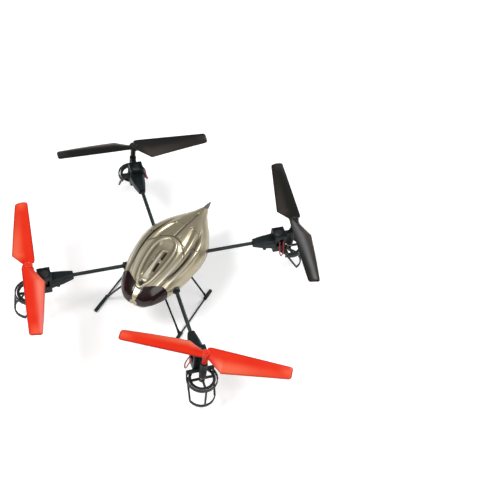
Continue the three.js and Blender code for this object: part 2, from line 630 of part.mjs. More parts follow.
function motor() {
  const hole = MOTOR_SHAFT_RADIUS + RUNNING * 2;
  const floor = MOTOR_BOTTOM + MOTOR_BOSS_DEPTH;
  const inset = MOTOR_RADIUS - MOTOR_EDGE;
  const can = turned([
    [CENTRE, floor], [hole, floor], [hole, MOTOR_BOTTOM], [inset, MOTOR_BOTTOM],
    [MOTOR_RADIUS, MOTOR_BOTTOM + MOTOR_EDGE], [MOTOR_RADIUS, MOTOR_TOP - MOTOR_EDGE], [inset, MOTOR_TOP],
    [CENTRE, MOTOR_TOP],
  ]);
  return can.translate([-GEAR_CENTRES, 0, 0]);
}

function motorLead() {
  const side = -BLOCK_HALF_WIDTH - REST - LEAD_RADIUS;
  const path = new THREE.CatmullRomCurve3(LEAD_PATH.map(([inboard, out, height]) => (
    new THREE.Vector3(-GEAR_CENTRES - inboard, side - out, height)
  )));
  const wire = new THREE.Shape().absarc(0, 0, LEAD_RADIUS, 0, Math.PI * 2, false);
  return solid(new THREE.ExtrudeGeometry(wire, { steps: LEAD_STEPS, extrudePath: path, curveSegments: 4 }));
}

function shaftBush() {
  const bore = SHAFT_RADIUS + RUNNING;
  const flange = SLEEVE_RADIUS - REST;
  return turned([
    [bore, BUSH_FLANGE_BOTTOM], [flange, BUSH_FLANGE_BOTTOM], [flange, BUSH_FLANGE_TOP],
    [BUSH_RADIUS, BUSH_FLANGE_TOP], [BUSH_RADIUS, MOUNT_TOP - REST], [bore, MOUNT_TOP - REST],
  ]);
}

function gearGuard() {
  const hoopBottom = GEAR_HEIGHT - GUARD_HEIGHT / 2;
  const hoopTop = GEAR_HEIGHT + GUARD_HEIGHT / 2;
  const footBottom = FOOT_HEIGHT - GUARD_HEIGHT / 2;
  const footTop = FOOT_HEIGHT + GUARD_HEIGHT / 2;
  const middleRadius = (GUARD_INNER_RADIUS + GUARD_OUTER_RADIUS) / 2;
  const end = THREE.MathUtils.degToRad(GUARD_HALF_ANGLE);
  const endX = middleRadius * Math.cos(end);
  const endY = middleRadius * Math.sin(end);
  const footEnd = THREE.MathUtils.degToRad(FOOT_HALF_ANGLE);
  const footX = FOOT_OFFSET + FOOT_RADIUS * Math.cos(footEnd);
  const footY = FOOT_RADIUS * Math.sin(footEnd);
  const halfWall = GUARD_WALL / 2;
  let guard = join(
    hoop(GUARD_INNER_RADIUS, GUARD_OUTER_RADIUS, -GUARD_HALF_ANGLE, GUARD_HALF_ANGLE, hoopBottom, hoopTop),
    hoop(FOOT_RADIUS - halfWall, FOOT_RADIUS + halfWall, -FOOT_HALF_ANGLE, FOOT_HALF_ANGLE, footBottom, footTop,
      FOOT_OFFSET),
    bar(new THREE.Vector3(middleRadius, 0, hoopBottom + ROD_SINK),
      new THREE.Vector3(FOOT_OFFSET + FOOT_RADIUS, 0, footTop - ROD_SINK), GUARD_ROD_RADIUS),
    block(BLOCK_INNER, endX, -BLOCK_HALF_WIDTH, BLOCK_HALF_WIDTH, BRIDGE_BOTTOM, BRIDGE_TOP),
    block(endX - RISER_INNER - ROD_SINK, endX + RISER_OUTER, -endY - halfWall, endY + halfWall, BRIDGE_BOTTOM,
      BRIDGE_TOP),
  );
  [-1, 1].forEach((side) => {
    const riserY = [side * (endY - halfWall), side * (endY + halfWall)].sort((a, b) => a - b);
    const riserStart = endX - RISER_INNER;
    guard = guard.add(block(riserStart, endX + RISER_OUTER, riserY[0], riserY[1], hoopBottom, BRIDGE_TOP));
    const top = new THREE.Vector3(endX, side * endY, hoopTop - REST);
    const bottom = new THREE.Vector3(footX, side * footY, FOOT_HEIGHT);
    guard = guard.add(bar(top, bottom, GUARD_ROD_RADIUS));
  });
  const motorHole = upright(MOTOR_RADIUS + FIT, 0, MOTOR_TOP, -GEAR_CENTRES, 0, ROUND);
  const gearSpace = upright(GUARD_INNER_RADIUS, hoopBottom - GEAR_SPACE, BRIDGE_BOTTOM, 0, 0, ROUND);
  return guard.subtract(motorHole).subtract(gearSpace);
}

// Outline of a spur gear: straight-sided teeth, a little thinner than the spaces between them.
function gearOutline(teeth) {
  const pitchRadius = (GEAR_MODULE * teeth) / 2;
  const tipRadius = pitchRadius + GEAR_MODULE * ADDENDUM;
  const rootRadius = pitchRadius - GEAR_MODULE * DEDENDUM;
  const pitchAngle = (Math.PI * 2) / teeth;
  const rootHalf = pitchAngle * TOOTH_SHARE * TOOTH_ROOT;
  const tipHalf = pitchAngle * TOOTH_SHARE * TOOTH_TIP;
  const points = [];
  for (let tooth = 0; tooth < teeth; tooth += 1) {
    const middle = tooth * pitchAngle;
    points.push(polar(rootRadius, middle - rootHalf));
    points.push(polar(tipRadius, middle - tipHalf));
    points.push(polar(tipRadius, middle + tipHalf));
    points.push(polar(rootRadius, middle + rootHalf));
  }
  return new THREE.Shape(points);
}

function polar(radius, angle) {
  return new THREE.Vector2(radius * Math.cos(angle), radius * Math.sin(angle));
}

function mainGear() {
  const bottom = GEAR_HEIGHT - GEAR_THICKNESS / 2;
  const top = GEAR_HEIGHT + GEAR_THICKNESS / 2;
  const rimInner = GEAR_PITCH_RADIUS - GEAR_MODULE - GEAR_RIM;
  const outline = gearOutline(GEAR_TEETH);
  outline.holes.push(new THREE.Path().absarc(0, 0, rimInner, 0, Math.PI * 2, true));
  let gear = slab(outline, bottom, top);
  const half = GEAR_SPOKE_WIDTH / 2;
  const reach = rimInner + GEAR_RIM / 2;
  gear = join(
    gear,
    block(-reach, reach, -half, half, bottom, top),
    block(-half, half, -reach, reach, bottom, top),
    upright(GEAR_HUB_RADIUS, GEAR_HUB_TOP - GEAR_HUB_HEIGHT, GEAR_HUB_TOP),
  );
  return gear.subtract(upright(SHAFT_RADIUS + RUNNING, 0, GEAR_HUB_TOP + THROUGH));
}

function pinion() {
  const bottom = GEAR_HEIGHT - PINION_THICKNESS / 2;
  const toothed = slab(gearOutline(PINION_TEETH), bottom, bottom + PINION_THICKNESS);
  const shaft = upright(MOTOR_SHAFT_RADIUS, bottom + THROUGH, MOTOR_BOTTOM + PINION_SHAFT_DEPTH);
  return join(toothed, shaft);
}

function rotorShaft() {
  const bottom = GEAR_HUB_TOP - GEAR_HUB_HEIGHT - THROUGH;
  return upright(SHAFT_RADIUS, bottom, ROTOR_HEIGHT + HUB_HEIGHT / 2 - SHAFT_SHORT);
}

// ---- rotor: blades along X, turning anticlockwise seen from above when spin is 1 ----
// Distances from the blade's line to its leading and trailing edges at a radius.
function bladeEdges(radius) {
  const leading = LEADING_OFFSET * THREE.MathUtils.lerp(1, LEADING_TAPER, radius / ROTOR_RADIUS);
  const tipTrailing = TIP_CHORD - LEADING_OFFSET * LEADING_TAPER;
  if (radius > ROOT_CHORD_RADIUS) {
    const outer = (radius - ROOT_CHORD_RADIUS) / (ROTOR_RADIUS - ROOT_CHORD_RADIUS);
    return { leading, trailing: THREE.MathUtils.lerp(TRAILING_OFFSET, tipTrailing, outer) };
  }
  const grow = THREE.MathUtils.clamp((radius - HUB_RADIUS) / (ROOT_CHORD_RADIUS - HUB_RADIUS), 0, 1);
  return { leading, trailing: THREE.MathUtils.lerp(NECK_CHORD / 2, TRAILING_OFFSET, grow) };
}

function bladeSection(radius, tipTrim) {
  const { leading, trailing } = bladeEdges(radius);
  const front = leading - tipTrim;
  const back = -trailing + tipTrim;
  const chord = front - back;
  const pitch = THREE.MathUtils.degToRad(THREE.MathUtils.lerp(ROOT_PITCH, TIP_PITCH, radius / ROTOR_RADIUS));
  const camber = (share) => chord * BLADE_CAMBER * share * (1 - share);
  const fullness = (share) => Math.sin(Math.PI * Math.min(share * 0.9 + 0.1, 1));
  const thickness = (share) => BLADE_THICKNESS * (0.3 + 0.7 * fullness(share));
  const upper = BLADE_STATIONS.map((share) => [front - chord * share, camber(share) + thickness(share) / 2]);
  const lower = BLADE_STATIONS.map((share) => [front - chord * share, camber(share) - thickness(share) / 2]);
  const around = [...upper, ...lower.reverse()];
  return around.map(([y, z]) => new THREE.Vector3(
    radius,
    y * Math.cos(pitch) - z * Math.sin(pitch),
    y * Math.sin(pitch) + z * Math.cos(pitch),
  ));
}

function rotor(spin) {
  const rings = [...BLADE_RADII, ROTOR_RADIUS - TIP_TRIM].map((radius) => bladeSection(radius, 0));
  rings.push(bladeSection(ROTOR_RADIUS, TIP_TRIM));
  const blade = loft(rings);
  const other = blade.rotate([0, 0, 180]);
  const hubBottom = -HUB_HEIGHT / 2;
  const hub = join(
    upright(HUB_RADIUS, hubBottom, HUB_HEIGHT / 2, 0, 0, ROUND),
    upright(STEM_RADIUS, STEM_BOTTOM - ROTOR_HEIGHT, hubBottom + THROUGH, 0, 0, ROUND),
  );
  const boreBottom = STEM_BOTTOM - ROTOR_HEIGHT - THROUGH;
  const bore = upright(SHAFT_RADIUS + RUNNING, boreBottom, HUB_HEIGHT / 2 - HUB_CROWN);
  const whole = join(blade, other, hub).subtract(bore);
  return spin > 0 ? whole : whole.mirror([0, 1, 0]);
}

// ---- landing gear ----
function skid() {
  const height = SKID_SLEEVE_RADIUS;
  const start = new THREE.Vector3(0, SKID_FRONT_Y + THROUGH, height);
  return bar(start, new THREE.Vector3(0, SKID_REAR_Y - THROUGH, height), SKID_RADIUS);
}

// One leg, drawn for the +X side: the sleeve on the skid's end, the junction and the strut up to the plate.
function leg({ footY, endY, topX, topY }, side) {
  const height = SKID_SLEEVE_RADIUS;
  const skidX = side * (SKID_SPACING / 2);
  const inwards = Math.sign(footY - endY);
  const foot = new THREE.Vector3(skidX, footY, height);
  const padTop = PLATE_BOTTOM - REST;
  const padBottom = padTop - PAD_THICKNESS;
  const top = new THREE.Vector3(side * topX, topY, (padBottom + padTop) / 2);
  const root = foot.clone().lerp(top, STRUT_ROOT_SHARE);
  const sleeveEnd = foot.clone().setY(footY + inwards * SLEEVE_OVERRUN);
  const sleeve = bar(new THREE.Vector3(skidX, endY, height), sleeveEnd, SKID_SLEEVE_RADIUS);
  const whole = join(
    sleeve,
    bar(foot, root, STRUT_ROOT_RADIUS, STRUT_RADIUS),
    bar(foot.clone().lerp(top, STRUT_OVERLAP_SHARE), top, STRUT_RADIUS),
    upright(PAD_RADIUS, padBottom, padTop, side * topX, topY),
  );
  const boreStart = new THREE.Vector3(skidX, endY + inwards * (THROUGH - REST), height);
  const boreEnd = foot.clone().setY(footY + inwards * (SLEEVE_OVERRUN + THROUGH));
  const bore = bar(boreStart, boreEnd, SKID_RADIUS + FIT);
  return whole.subtract(bore);
}

// ---- assembly ----
function cornerAngles() {
  return [45, 135, 225, 315].map((angle) => THREE.MathUtils.degToRad(angle));
}

const aircraft = new THREE.Group();
aircraft.position.z = -BOX_BOTTOM;

function place(name, piece, finish, parent = aircraft) {
  const mesh = new THREE.Mesh(geometryOf(piece), new THREE.MeshStandardMaterial(finish));
  mesh.name = name;
  parent.add(mesh);
  return mesh;
}

place('canopy', canopy(), CHAMPAGNE);
place('window_port', windowPane(1), TINTED);
place('window_starboard', windowPane(-1), TINTED);
place('tail_tip', tailTip(), GREY);
place('canopy_screw', canopyScrew(), STEEL);
place('battery_box', batteryBox(), BLACK);
place('battery', battery(), FOIL);
place('battery_plug', batteryPlug(), NATURAL);
place('centre_frame', centreFrame(), BLACK);
place('circuit_board', circuitBoard(), BOARD_GREEN);

[1, -1].forEach((side) => {
  const sideName = side > 0 ? 'port' : 'starboard';
  place(`skid_${sideName}`, skid(), BLACK).position.x = side * (SKID_SPACING / 2);
  LEGS.forEach((shape) => place(`leg_${shape.name}_${sideName}`, leg(shape, side), BLACK));
});

// Rest angle is the direction of one blade, in degrees from +X.
const CORNERS = [
  { name: 'rear_port', outboard: 45, spin: -1, restAngle: 129.2, finish: CHARCOAL },
  { name: 'rear_starboard', outboard: 135, spin: 1, restAngle: 43.2, finish: CHARCOAL },
  { name: 'front_starboard', outboard: 225, spin: -1, restAngle: 129.7, finish: RED },
  { name: 'front_port', outboard: 315, spin: 1, restAngle: 16, finish: RED },
];

CORNERS.forEach(({ name, outboard, spin, restAngle, finish }) => {
  const angle = THREE.MathUtils.degToRad(outboard);
  const corner = new THREE.Group();
  corner.position.set(DIAGONAL * Math.cos(angle), DIAGONAL * Math.sin(angle), 0);
  corner.rotation.z = angle;
  aircraft.add(corner);
  place(`arm_${name}`, arm(), BLACK, corner);
  place(`motor_mount_${name}`, motorMount(), BLACK, corner);
  place(`motor_${name}`, motor(), STEEL, corner);
  place(`motor_lead_${name}`, motorLead(), RED_WIRE, corner);
  place(`shaft_bush_${name}`, shaftBush(), BRASS, corner);
  place(`gear_guard_${name}`, gearGuard(), BLACK, corner);
  place(`main_gear_${name}`, mainGear(), BLACK, corner);
  place(`rotor_shaft_${name}`, rotorShaft(), STEEL, corner);
  const pinionMesh = place(`pinion_${name}`, pinion(), BRASS, corner);
  pinionMesh.position.x = -GEAR_CENTRES;
  // The gear has a tooth at 180 degrees, so the pinion turns half a tooth to put a space there.
  pinionMesh.rotation.z = Math.PI / PINION_TEETH;
  const rotorMesh = place(`rotor_${name}`, rotor(spin), finish, corner);
  rotorMesh.position.z = ROTOR_HEIGHT;
  rotorMesh.rotation.z = THREE.MathUtils.degToRad(restAngle) - angle;
});

export default aircraft;
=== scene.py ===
"""A toy four-rotor helicopter: its detailed canopy, rotors and arms, and the finish of every piece.

Objects are in metres in the frame's own axes: +Z up, nose towards -Y, +X to port. The sizes of the pieces
below are in millimetres, and their heights are measured from the ground that the skids stand on.
"""

import json
import logging
import math
from dataclasses import dataclass, field
from enum import Enum
from typing import Callable, Iterable, Sequence

import bpy
import numpy as np
from mathutils import Matrix, Vector


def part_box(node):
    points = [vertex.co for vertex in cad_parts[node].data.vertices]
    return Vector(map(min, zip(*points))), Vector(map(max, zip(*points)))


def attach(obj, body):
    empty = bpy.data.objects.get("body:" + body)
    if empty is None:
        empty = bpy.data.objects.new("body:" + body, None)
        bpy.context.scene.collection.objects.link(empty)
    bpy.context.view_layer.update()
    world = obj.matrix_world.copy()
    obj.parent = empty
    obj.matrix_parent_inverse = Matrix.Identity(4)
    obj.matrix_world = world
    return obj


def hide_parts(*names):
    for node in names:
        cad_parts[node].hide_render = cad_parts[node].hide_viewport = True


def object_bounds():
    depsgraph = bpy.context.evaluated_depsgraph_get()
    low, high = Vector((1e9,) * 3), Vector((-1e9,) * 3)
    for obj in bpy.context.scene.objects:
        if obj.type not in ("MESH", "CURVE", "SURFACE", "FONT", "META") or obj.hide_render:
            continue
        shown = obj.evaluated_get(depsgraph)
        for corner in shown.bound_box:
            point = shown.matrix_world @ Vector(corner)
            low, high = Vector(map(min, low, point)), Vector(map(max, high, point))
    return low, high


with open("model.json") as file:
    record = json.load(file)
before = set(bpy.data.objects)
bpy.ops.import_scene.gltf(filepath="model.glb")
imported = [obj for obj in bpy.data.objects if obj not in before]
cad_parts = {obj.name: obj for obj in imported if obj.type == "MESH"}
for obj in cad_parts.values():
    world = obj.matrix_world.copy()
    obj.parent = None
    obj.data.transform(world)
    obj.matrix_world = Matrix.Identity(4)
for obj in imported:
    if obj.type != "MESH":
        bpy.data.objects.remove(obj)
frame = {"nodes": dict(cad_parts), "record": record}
CAD_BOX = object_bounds()

MM = 0.001
GROUND = CAD_BOX[0][2]
AIRFRAME = "airframe"
LOG = logging.getLogger("quadcopter")

CLOUD_SCALE = 45.0
CLOUD_DETAIL = 5.0
GRAIN_DETAIL = 3.0
WORN_POINTINESS = (0.52, 0.62)
WEAR_NOISE_SCALE = 260.0
BUMP_STRENGTH = 0.5
COAT_ROUGHNESS = 0.12
WELD_GAP = 0.00001
BEVEL_SEGMENTS = 2
SHARP_ANGLE = math.radians(32)
NEARLY_UPRIGHT = 0.9
CHORD_STATIONS = (1 - np.cos(np.linspace(0, math.pi, 15))) / 2
EDGE_INSET = 0.05
TIP_RINGS = 7
HUB_SIDES = 40
# The hub's radius and height over the blades' line, from the top down.
HUB_PROFILE = (
    (0.0, 1.5), (1.0, 1.55), (1.2, 2.3), (2.5, 2.45), (3.2, 2.2), (3.55, 1.6), (3.6, 0.8), (3.6, -2.0),
    (3.3, -2.45), (2.6, -2.6), (2.35, -3.1), (2.3, -11.8), (2.05, -12.1), (1.0, -12.1), (0.95, -11.6),
    (0.0, -11.5),
)
TAIL_COLLAR = 1.2
TAIL_DROOP = 0.6
# The spike's radius as a share of the greatest, at shares of its length.
TAIL_PROFILE = (
    (0.0, 0.35), (0.02, 0.98), (0.12, 1.0), (0.16, 0.92), (0.4, 0.76), (0.7, 0.5), (0.92, 0.26),
    (0.98, 0.16), (1.0, 0.04),
)

BLACK = (0.0, 0.0, 0.0, 1.0)
WHITE = (1.0, 1.0, 1.0, 1.0)

Point = tuple[float, float, float]
Colour = tuple[float, float, float]
Span = tuple[float, float]
Skin = tuple[np.ndarray, list[tuple[int, ...]]]


class Corner(Enum):
    """The four rotor positions, by the ending of their node names."""

    REAR_PORT = "rear_port"
    REAR_STARBOARD = "rear_starboard"
    FRONT_STARBOARD = "front_starboard"
    FRONT_PORT = "front_port"


class Spin(Enum):
    """Which way a rotor turns, seen from above."""

    ANTICLOCKWISE = 1
    CLOCKWISE = -1


class Slot(Enum):
    """Material slots of the record."""

    SHELL = "champagne_shell"
    WINDOW = "tinted_window"
    TAIL = "tail_grey"
    BLACK = "black_plastic"
    ROD = "carbon_rod"
    RED_BLADE = "red_blade"
    BLACK_BLADE = "black_blade"
    STEEL = "steel"
    BRASS = "brass"
    BOARD = "board_green"
    FOIL = "foil"
    WIRE = "red_wire"
    PLUG = "natural_plastic"


# ---- node groups ----


def new_group(name: str, inputs: dict[str, object], outputs: dict[str, str]) -> tuple:
    """Makes a node group.

    Args:
        name: The group's name.
        inputs: The default of each input: a number, or a colour with its opacity.
        outputs: The kind of each output, Float or Color.

    Returns:
        The group, its input node and its output node.
    """
    group = bpy.data.node_groups.new(name, "ShaderNodeTree")
    for socket, value in inputs.items():
        kind = "NodeSocketFloat" if isinstance(value, float) else "NodeSocketColor"
        group.interface.new_socket(name=socket, in_out="INPUT", socket_type=kind).default_value = value
    for socket, kind in outputs.items():
        group.interface.new_socket(name=socket, in_out="OUTPUT", socket_type="NodeSocket" + kind)
    return group, group.nodes.new("NodeGroupInput"), group.nodes.new("NodeGroupOutput")


def feed(tree: bpy.types.NodeTree, node: bpy.types.Node, inputs: dict[str | int, object]) -> None:
    """Feeds a node's inputs, by name or number: a socket is linked and a plain value is set."""
    for key, value in inputs.items():
        if isinstance(value, bpy.types.NodeSocket):
            tree.links.new(value, node.inputs[key])
        else:
            node.inputs[key].default_value = value


def add_node(
    tree: bpy.types.NodeTree, kind: str, inputs: dict[str | int, object], **settings: object
) -> bpy.types.Node:
    """Adds a shader node.

    Args:
        tree: The tree that gets the node.
        kind: The node's type, without ShaderNode in front.
        inputs: What its inputs are fed.
        **settings: The node's own settings, made before its inputs are fed.

    Returns:
        The node.
    """
    node = tree.nodes.new("ShaderNode" + kind)
    for name, value in settings.items():
        setattr(node, name, value)
    feed(tree, node, inputs)
    return node


def mix_colour(tree: bpy.types.NodeTree, share: object, first: object, second: object) -> object:
    """Mixes two colours, from the first at share 0 to the second at share 1, and returns the result."""
    return add_node(tree, "Mix", {0: share, 6: first, 7: second}, data_type="RGBA").outputs[2]


def multiply(tree: bpy.types.NodeTree, first: object, second: object) -> object:
    """Multiplies two values and returns the result."""
    return add_node(tree, "Math", {0: first, 1: second}, operation="MULTIPLY").outputs[0]


def make_grain_group() -> bpy.types.NodeTree:
    """Builds the fine moulded grain: a soft cloudy variation and a fine height.

    Returns:
        A group with input Scale and outputs Cloud and Height.
    """
    group, start, end = new_group("fine_grain", {"Scale": 900.0}, {"Cloud": "Float", "Height": "Float"})
    place = add_node(group, "TexCoord", {}).outputs["Object"]
    cloud = add_node(group, "TexNoise", {"Vector": place, "Scale": CLOUD_SCALE, "Detail": CLOUD_DETAIL})
    scale = start.outputs["Scale"]
    fine = add_node(group, "TexNoise", {"Vector": place, "Scale": scale, "Detail": GRAIN_DETAIL})
    feed(group, end, {"Cloud": cloud.outputs["Fac"], "Height": fine.outputs["Fac"]})
    return group


def make_wear_group() -> bpy.types.NodeTree:
    """Builds edge wear: edges that have been handled show a lighter colour, broken up by noise.

    Returns:
        A group with inputs Colour, Worn Colour and Amount and output Colour.
    """
    inputs = {"Colour": WHITE, "Worn Colour": WHITE, "Amount": 0.3}
    group, start, end = new_group("edge_wear", inputs, {"Colour": "Color"})
    low, high = WORN_POINTINESS
    pointiness = add_node(group, "NewGeometry", {}).outputs["Pointiness"]
    edges = add_node(group, "MapRange", {"Value": pointiness, "From Min": low, "From Max": high})
    place = add_node(group, "TexCoord", {}).outputs["Object"]
    noise = add_node(group, "TexNoise", {"Vector": place, "Scale": WEAR_NOISE_SCALE})
    broken = multiply(group, edges.outputs["Result"], noise.outputs["Fac"])
    mask = multiply(group, broken, start.outputs["Amount"])
    worn = mix_colour(group, mask, start.outputs["Colour"], start.outputs["Worn Colour"])
    feed(group, end, {"Colour": worn})
    return group


GRAIN = make_grain_group()
WEAR = make_wear_group()


# ---- finishes ----


@dataclass(frozen=True)
class Finish:
    """A moulded, painted or metal surface with grain, colour variation and edge wear.

    Attributes:
        slot: The record's slot that it stands for.
        colour: Its main colour.
        shade: The colour that it drifts towards in soft clouds.
        roughness: Its mean roughness.
        roughness_spread: How far the roughness moves with the clouds.
        metallic: How metallic it is.
        coat: Weight of a clear coat.
        specular: Level of its plain reflection.
        grain_scale: Scale of the fine grain.
        grain_height: Height of the fine grain in millimetres.
        wear_colour: Colour of worn edges.
        wear: How much the edges are worn.
        painted_shade_colour: Colour of painted shade, in furrows and on blade rims, where the mesh marks it.
        painted_highlight_colour: Colour of painted highlights, on ridge tops and blades, where the mesh marks
            them.
    """

    slot: Slot
    colour: Colour
    shade: Colour
    roughness: float = 0.4
    roughness_spread: float = 0.12
    metallic: float = 0.0
    coat: float = 0.0
    specular: float = 0.4
    grain_scale: float = 1400.0
    grain_height: float = 0.03
    wear_colour: Colour = (0.3, 0.3, 0.3)
    wear: float = 0.25
    painted_shade_colour: Colour | None = None
    painted_highlight_colour: Colour | None = None

    def build(self) -> bpy.types.Material:
        """Makes the material, the first time only, and returns it."""
        name = self.slot.value + "_finish"
        known = bpy.data.materials.get(name)
        if known is not None:
            return known
        material = bpy.data.materials.new(name)
        material.use_nodes = True
        tree = material.node_tree
        grain = add_node(tree, "Group", {"Scale": self.grain_scale}, node_tree=GRAIN)
        cloud = grain.outputs["Cloud"]
        base = mix_colour(tree, cloud, (*self.colour, 1.0), (*self.shade, 1.0))
        # The painted highlight and then the painted shade are mixed over the base colour where the mesh marks
        # them.
        for mask, marked in (("painted_highlight_mark", self.painted_highlight_colour), ("painted_shade_mark", self.painted_shade_colour)):
            if marked is not None:
                mark = add_node(tree, "Attribute", {}, attribute_name=mask)
                base = mix_colour(tree, mark.outputs["Fac"], base, (*marked, 1.0))
        worn = {"Colour": base, "Worn Colour": (*self.wear_colour, 1.0), "Amount": self.wear}
        wear = add_node(tree, "Group", worn, node_tree=WEAR)
        low, high = self.roughness - self.roughness_spread, self.roughness + self.roughness_spread
        rough = add_node(tree, "MapRange", {"Value": cloud, "To Min": low, "To Max": high})
        bump = add_node(tree, "Bump", {
            "Height": grain.outputs["Height"], "Distance": self.grain_height * MM, "Strength": BUMP_STRENGTH,
        })
        feed(tree, tree.nodes["Principled BSDF"], {
            "Base Color": wear.outputs["Colour"],
            "Roughness": rough.outputs["Result"],
            "Normal": bump.outputs["Normal"],
            "Metallic": self.metallic,
            "Coat Weight": self.coat,
            "Coat Roughness": COAT_ROUGHNESS,
            "Specular IOR Level": self.specular,
        })
        return material


FINISHES: dict[Slot, Finish] = {
    finish.slot: finish
    for finish in (
        # The shell's painted shade darkens furrows, slots, seams and rivet holes; its painted highlight
        # lightens ridge tops and the hood's bar.
        Finish(
            Slot.SHELL, (0.62, 0.55, 0.385), (0.46, 0.4, 0.265), roughness=0.29, roughness_spread=0.05,
            metallic=0.72, coat=0.2, grain_scale=2600.0, grain_height=0.02, wear_colour=(0.8, 0.74, 0.58),
            wear=0.8, painted_shade_colour=(0.022, 0.016, 0.01), painted_highlight_colour=(0.93, 0.88, 0.74),
        ),
        Finish(
            Slot.WINDOW, (0.008, 0.003, 0.003), (0.022, 0.005, 0.005), roughness=0.16,
            roughness_spread=0.04, coat=0.35, grain_height=0.004, wear_colour=(0.12, 0.06, 0.05), wear=0.2,
        ),
        Finish(Slot.TAIL, (0.13, 0.115, 0.15), (0.07, 0.06, 0.08), roughness=0.35, coat=0.2),
        Finish(
            Slot.BLACK, (0.003, 0.006, 0.0065), (0.007, 0.014, 0.015), roughness=0.36, specular=0.28,
            grain_height=0.05, wear_colour=(0.12, 0.15, 0.15), wear=0.35,
        ),
        Finish(
            Slot.ROD, (0.004, 0.009, 0.009), (0.01, 0.02, 0.02), roughness=0.34, roughness_spread=0.08,
            specular=0.35, grain_scale=600.0, wear=0.1,
        ),
        # The red blades' painted shade darkens their rims and tips; their painted highlight stands in for a
        # sheen towards the root and tips.
        Finish(
            Slot.RED_BLADE, (0.72, 0.011, 0.002), (0.86, 0.04, 0.008), roughness=0.3, roughness_spread=0.06,
            specular=0.3, grain_height=0.015, wear_colour=(0.95, 0.25, 0.12), wear=0.3,
            painted_shade_colour=(0.36, 0.006, 0.002), painted_highlight_colour=(0.96, 0.17, 0.08),
        ),
        # The black blades' painted shade darkens their rims and tips; their brownish painted highlight stands
        # in for a sheen.
        Finish(
            Slot.BLACK_BLADE, (0.004, 0.006, 0.006), (0.014, 0.012, 0.01), roughness=0.32,
            roughness_spread=0.07, specular=0.28, grain_height=0.015, wear_colour=(0.12, 0.1, 0.08),
            wear=0.3, painted_shade_colour=(0.003, 0.004, 0.004), painted_highlight_colour=(0.055, 0.042, 0.034),
        ),
        Finish(
            Slot.STEEL, (0.1, 0.1, 0.105), (0.06, 0.06, 0.065), roughness=0.36, metallic=0.9,
            grain_scale=3000.0, wear_colour=(0.45, 0.45, 0.45),
        ),
        Finish(
            Slot.BRASS, (0.62, 0.42, 0.14), (0.5, 0.32, 0.1), roughness=0.3, metallic=1.0,
            wear_colour=(0.9, 0.75, 0.4),
        ),
        Finish(Slot.BOARD, (0.01, 0.13, 0.045), (0.02, 0.2, 0.08), roughness=0.4, grain_height=0.06),
        Finish(
            Slot.FOIL, (0.45, 0.47, 0.5), (0.32, 0.34, 0.37), roughness=0.3, metallic=0.8,
            grain_scale=500.0, grain_height=0.2,
        ),
        Finish(Slot.WIRE, (0.5, 0.012, 0.02), (0.36, 0.01, 0.014), roughness=0.35, coat=0.2),
        Finish(Slot.PLUG, (0.72, 0.68, 0.56), (0.6, 0.56, 0.45), roughness=0.45),
    )
}


# ---- mesh helpers ----


def smooth_step(value: np.ndarray | float, low: float, high: float) -> np.ndarray:
    """A smooth 0 to 1 as value goes from low to high."""
    share = np.clip((np.asarray(value, float) - low) / (high - low), 0.0, 1.0)
    return share * share * (3.0 - 2.0 * share)


def ridge(value: np.ndarray, middle: np.ndarray | float, width: float) -> np.ndarray:
    """A rounded ridge of height 1 at middle that falls away over about width."""
    return np.exp(-(((value - middle) / width) ** 2))


def span(value: np.ndarray | float, rise: Span, fall: Span) -> np.ndarray:
    """1 between a smooth rise and a smooth fall, and 0 outside them."""
    return smooth_step(value, *rise) * (1 - smooth_step(value, *fall))


def curve_through(points: Sequence[Span]) -> Callable[[np.ndarray | float], np.ndarray]:
    """Makes a smooth function through points by cubic Hermite pieces.

    Args:
        points: (place, value) pairs in order of place.

    Returns:
        A function of place that works on arrays.
    """
    places = np.array([point[0] for point in points], float)
    values = np.array([point[1] for point in points], float)
    slopes = np.gradient(values, places)

    def evaluate(place: np.ndarray | float) -> np.ndarray:
        """The curve's value at a place."""
        at = np.clip(np.asarray(place, float), places[0], places[-1])
        piece = np.clip(np.searchsorted(places, at, side="right") - 1, 0, len(places) - 2)
        step = places[piece + 1] - places[piece]
        t = (at - places[piece]) / step
        first = (2 * t ** 3 - 3 * t ** 2 + 1) * values[piece]
        first_slope = (t ** 3 - 2 * t ** 2 + t) * step * slopes[piece]
        last = (3 * t ** 2 - 2 * t ** 3) * values[piece + 1]
        last_slope = (t ** 3 - t ** 2) * step * slopes[piece + 1]
        return (first + first_slope) + (last + last_slope)

    return evaluate


def mesh_object(
    name: str, points: np.ndarray, faces: Iterable[Sequence[int]], finish: Slot
) -> bpy.types.Object:
    """Makes a smoothly shaded object from points in metres.

    Args:
        name: The piece's name.
        points: An (n, 3) array in the frame's axes.
        faces: Corner indices of each face.
        finish: The slot whose finish it takes.

    Returns:
        The new object, linked to the scene.
    """
    mesh = bpy.data.meshes.new(name)
    mesh.from_pydata([tuple(point) for point in points], [], [list(face) for face in faces])
    mesh.polygons.foreach_set("use_smooth", [True] * len(mesh.polygons))
    mesh.update()
    piece = bpy.data.objects.new(name, mesh)
    bpy.context.scene.collection.objects.link(piece)
    mesh.materials.append(FINISHES[finish].build())
    return piece


def mark_points(piece: bpy.types.Object, name: str, values: np.ndarray) -> None:
    """Stores one value from 0 to 1 for each point of a piece, for its finish to read."""
    mark = piece.data.attributes.new(name, "FLOAT", "POINT")
    mark.data.foreach_set("value", values.reshape(-1).astype(np.float32))


def thicken(piece: bpy.types.Object, wall: float) -> None:
    """Gives an open skin a wall, in millimetres, on its inner side."""
    solid = piece.modifiers.new("wall", "SOLIDIFY")
    solid.thickness = wall * MM
    solid.offset = -1.0


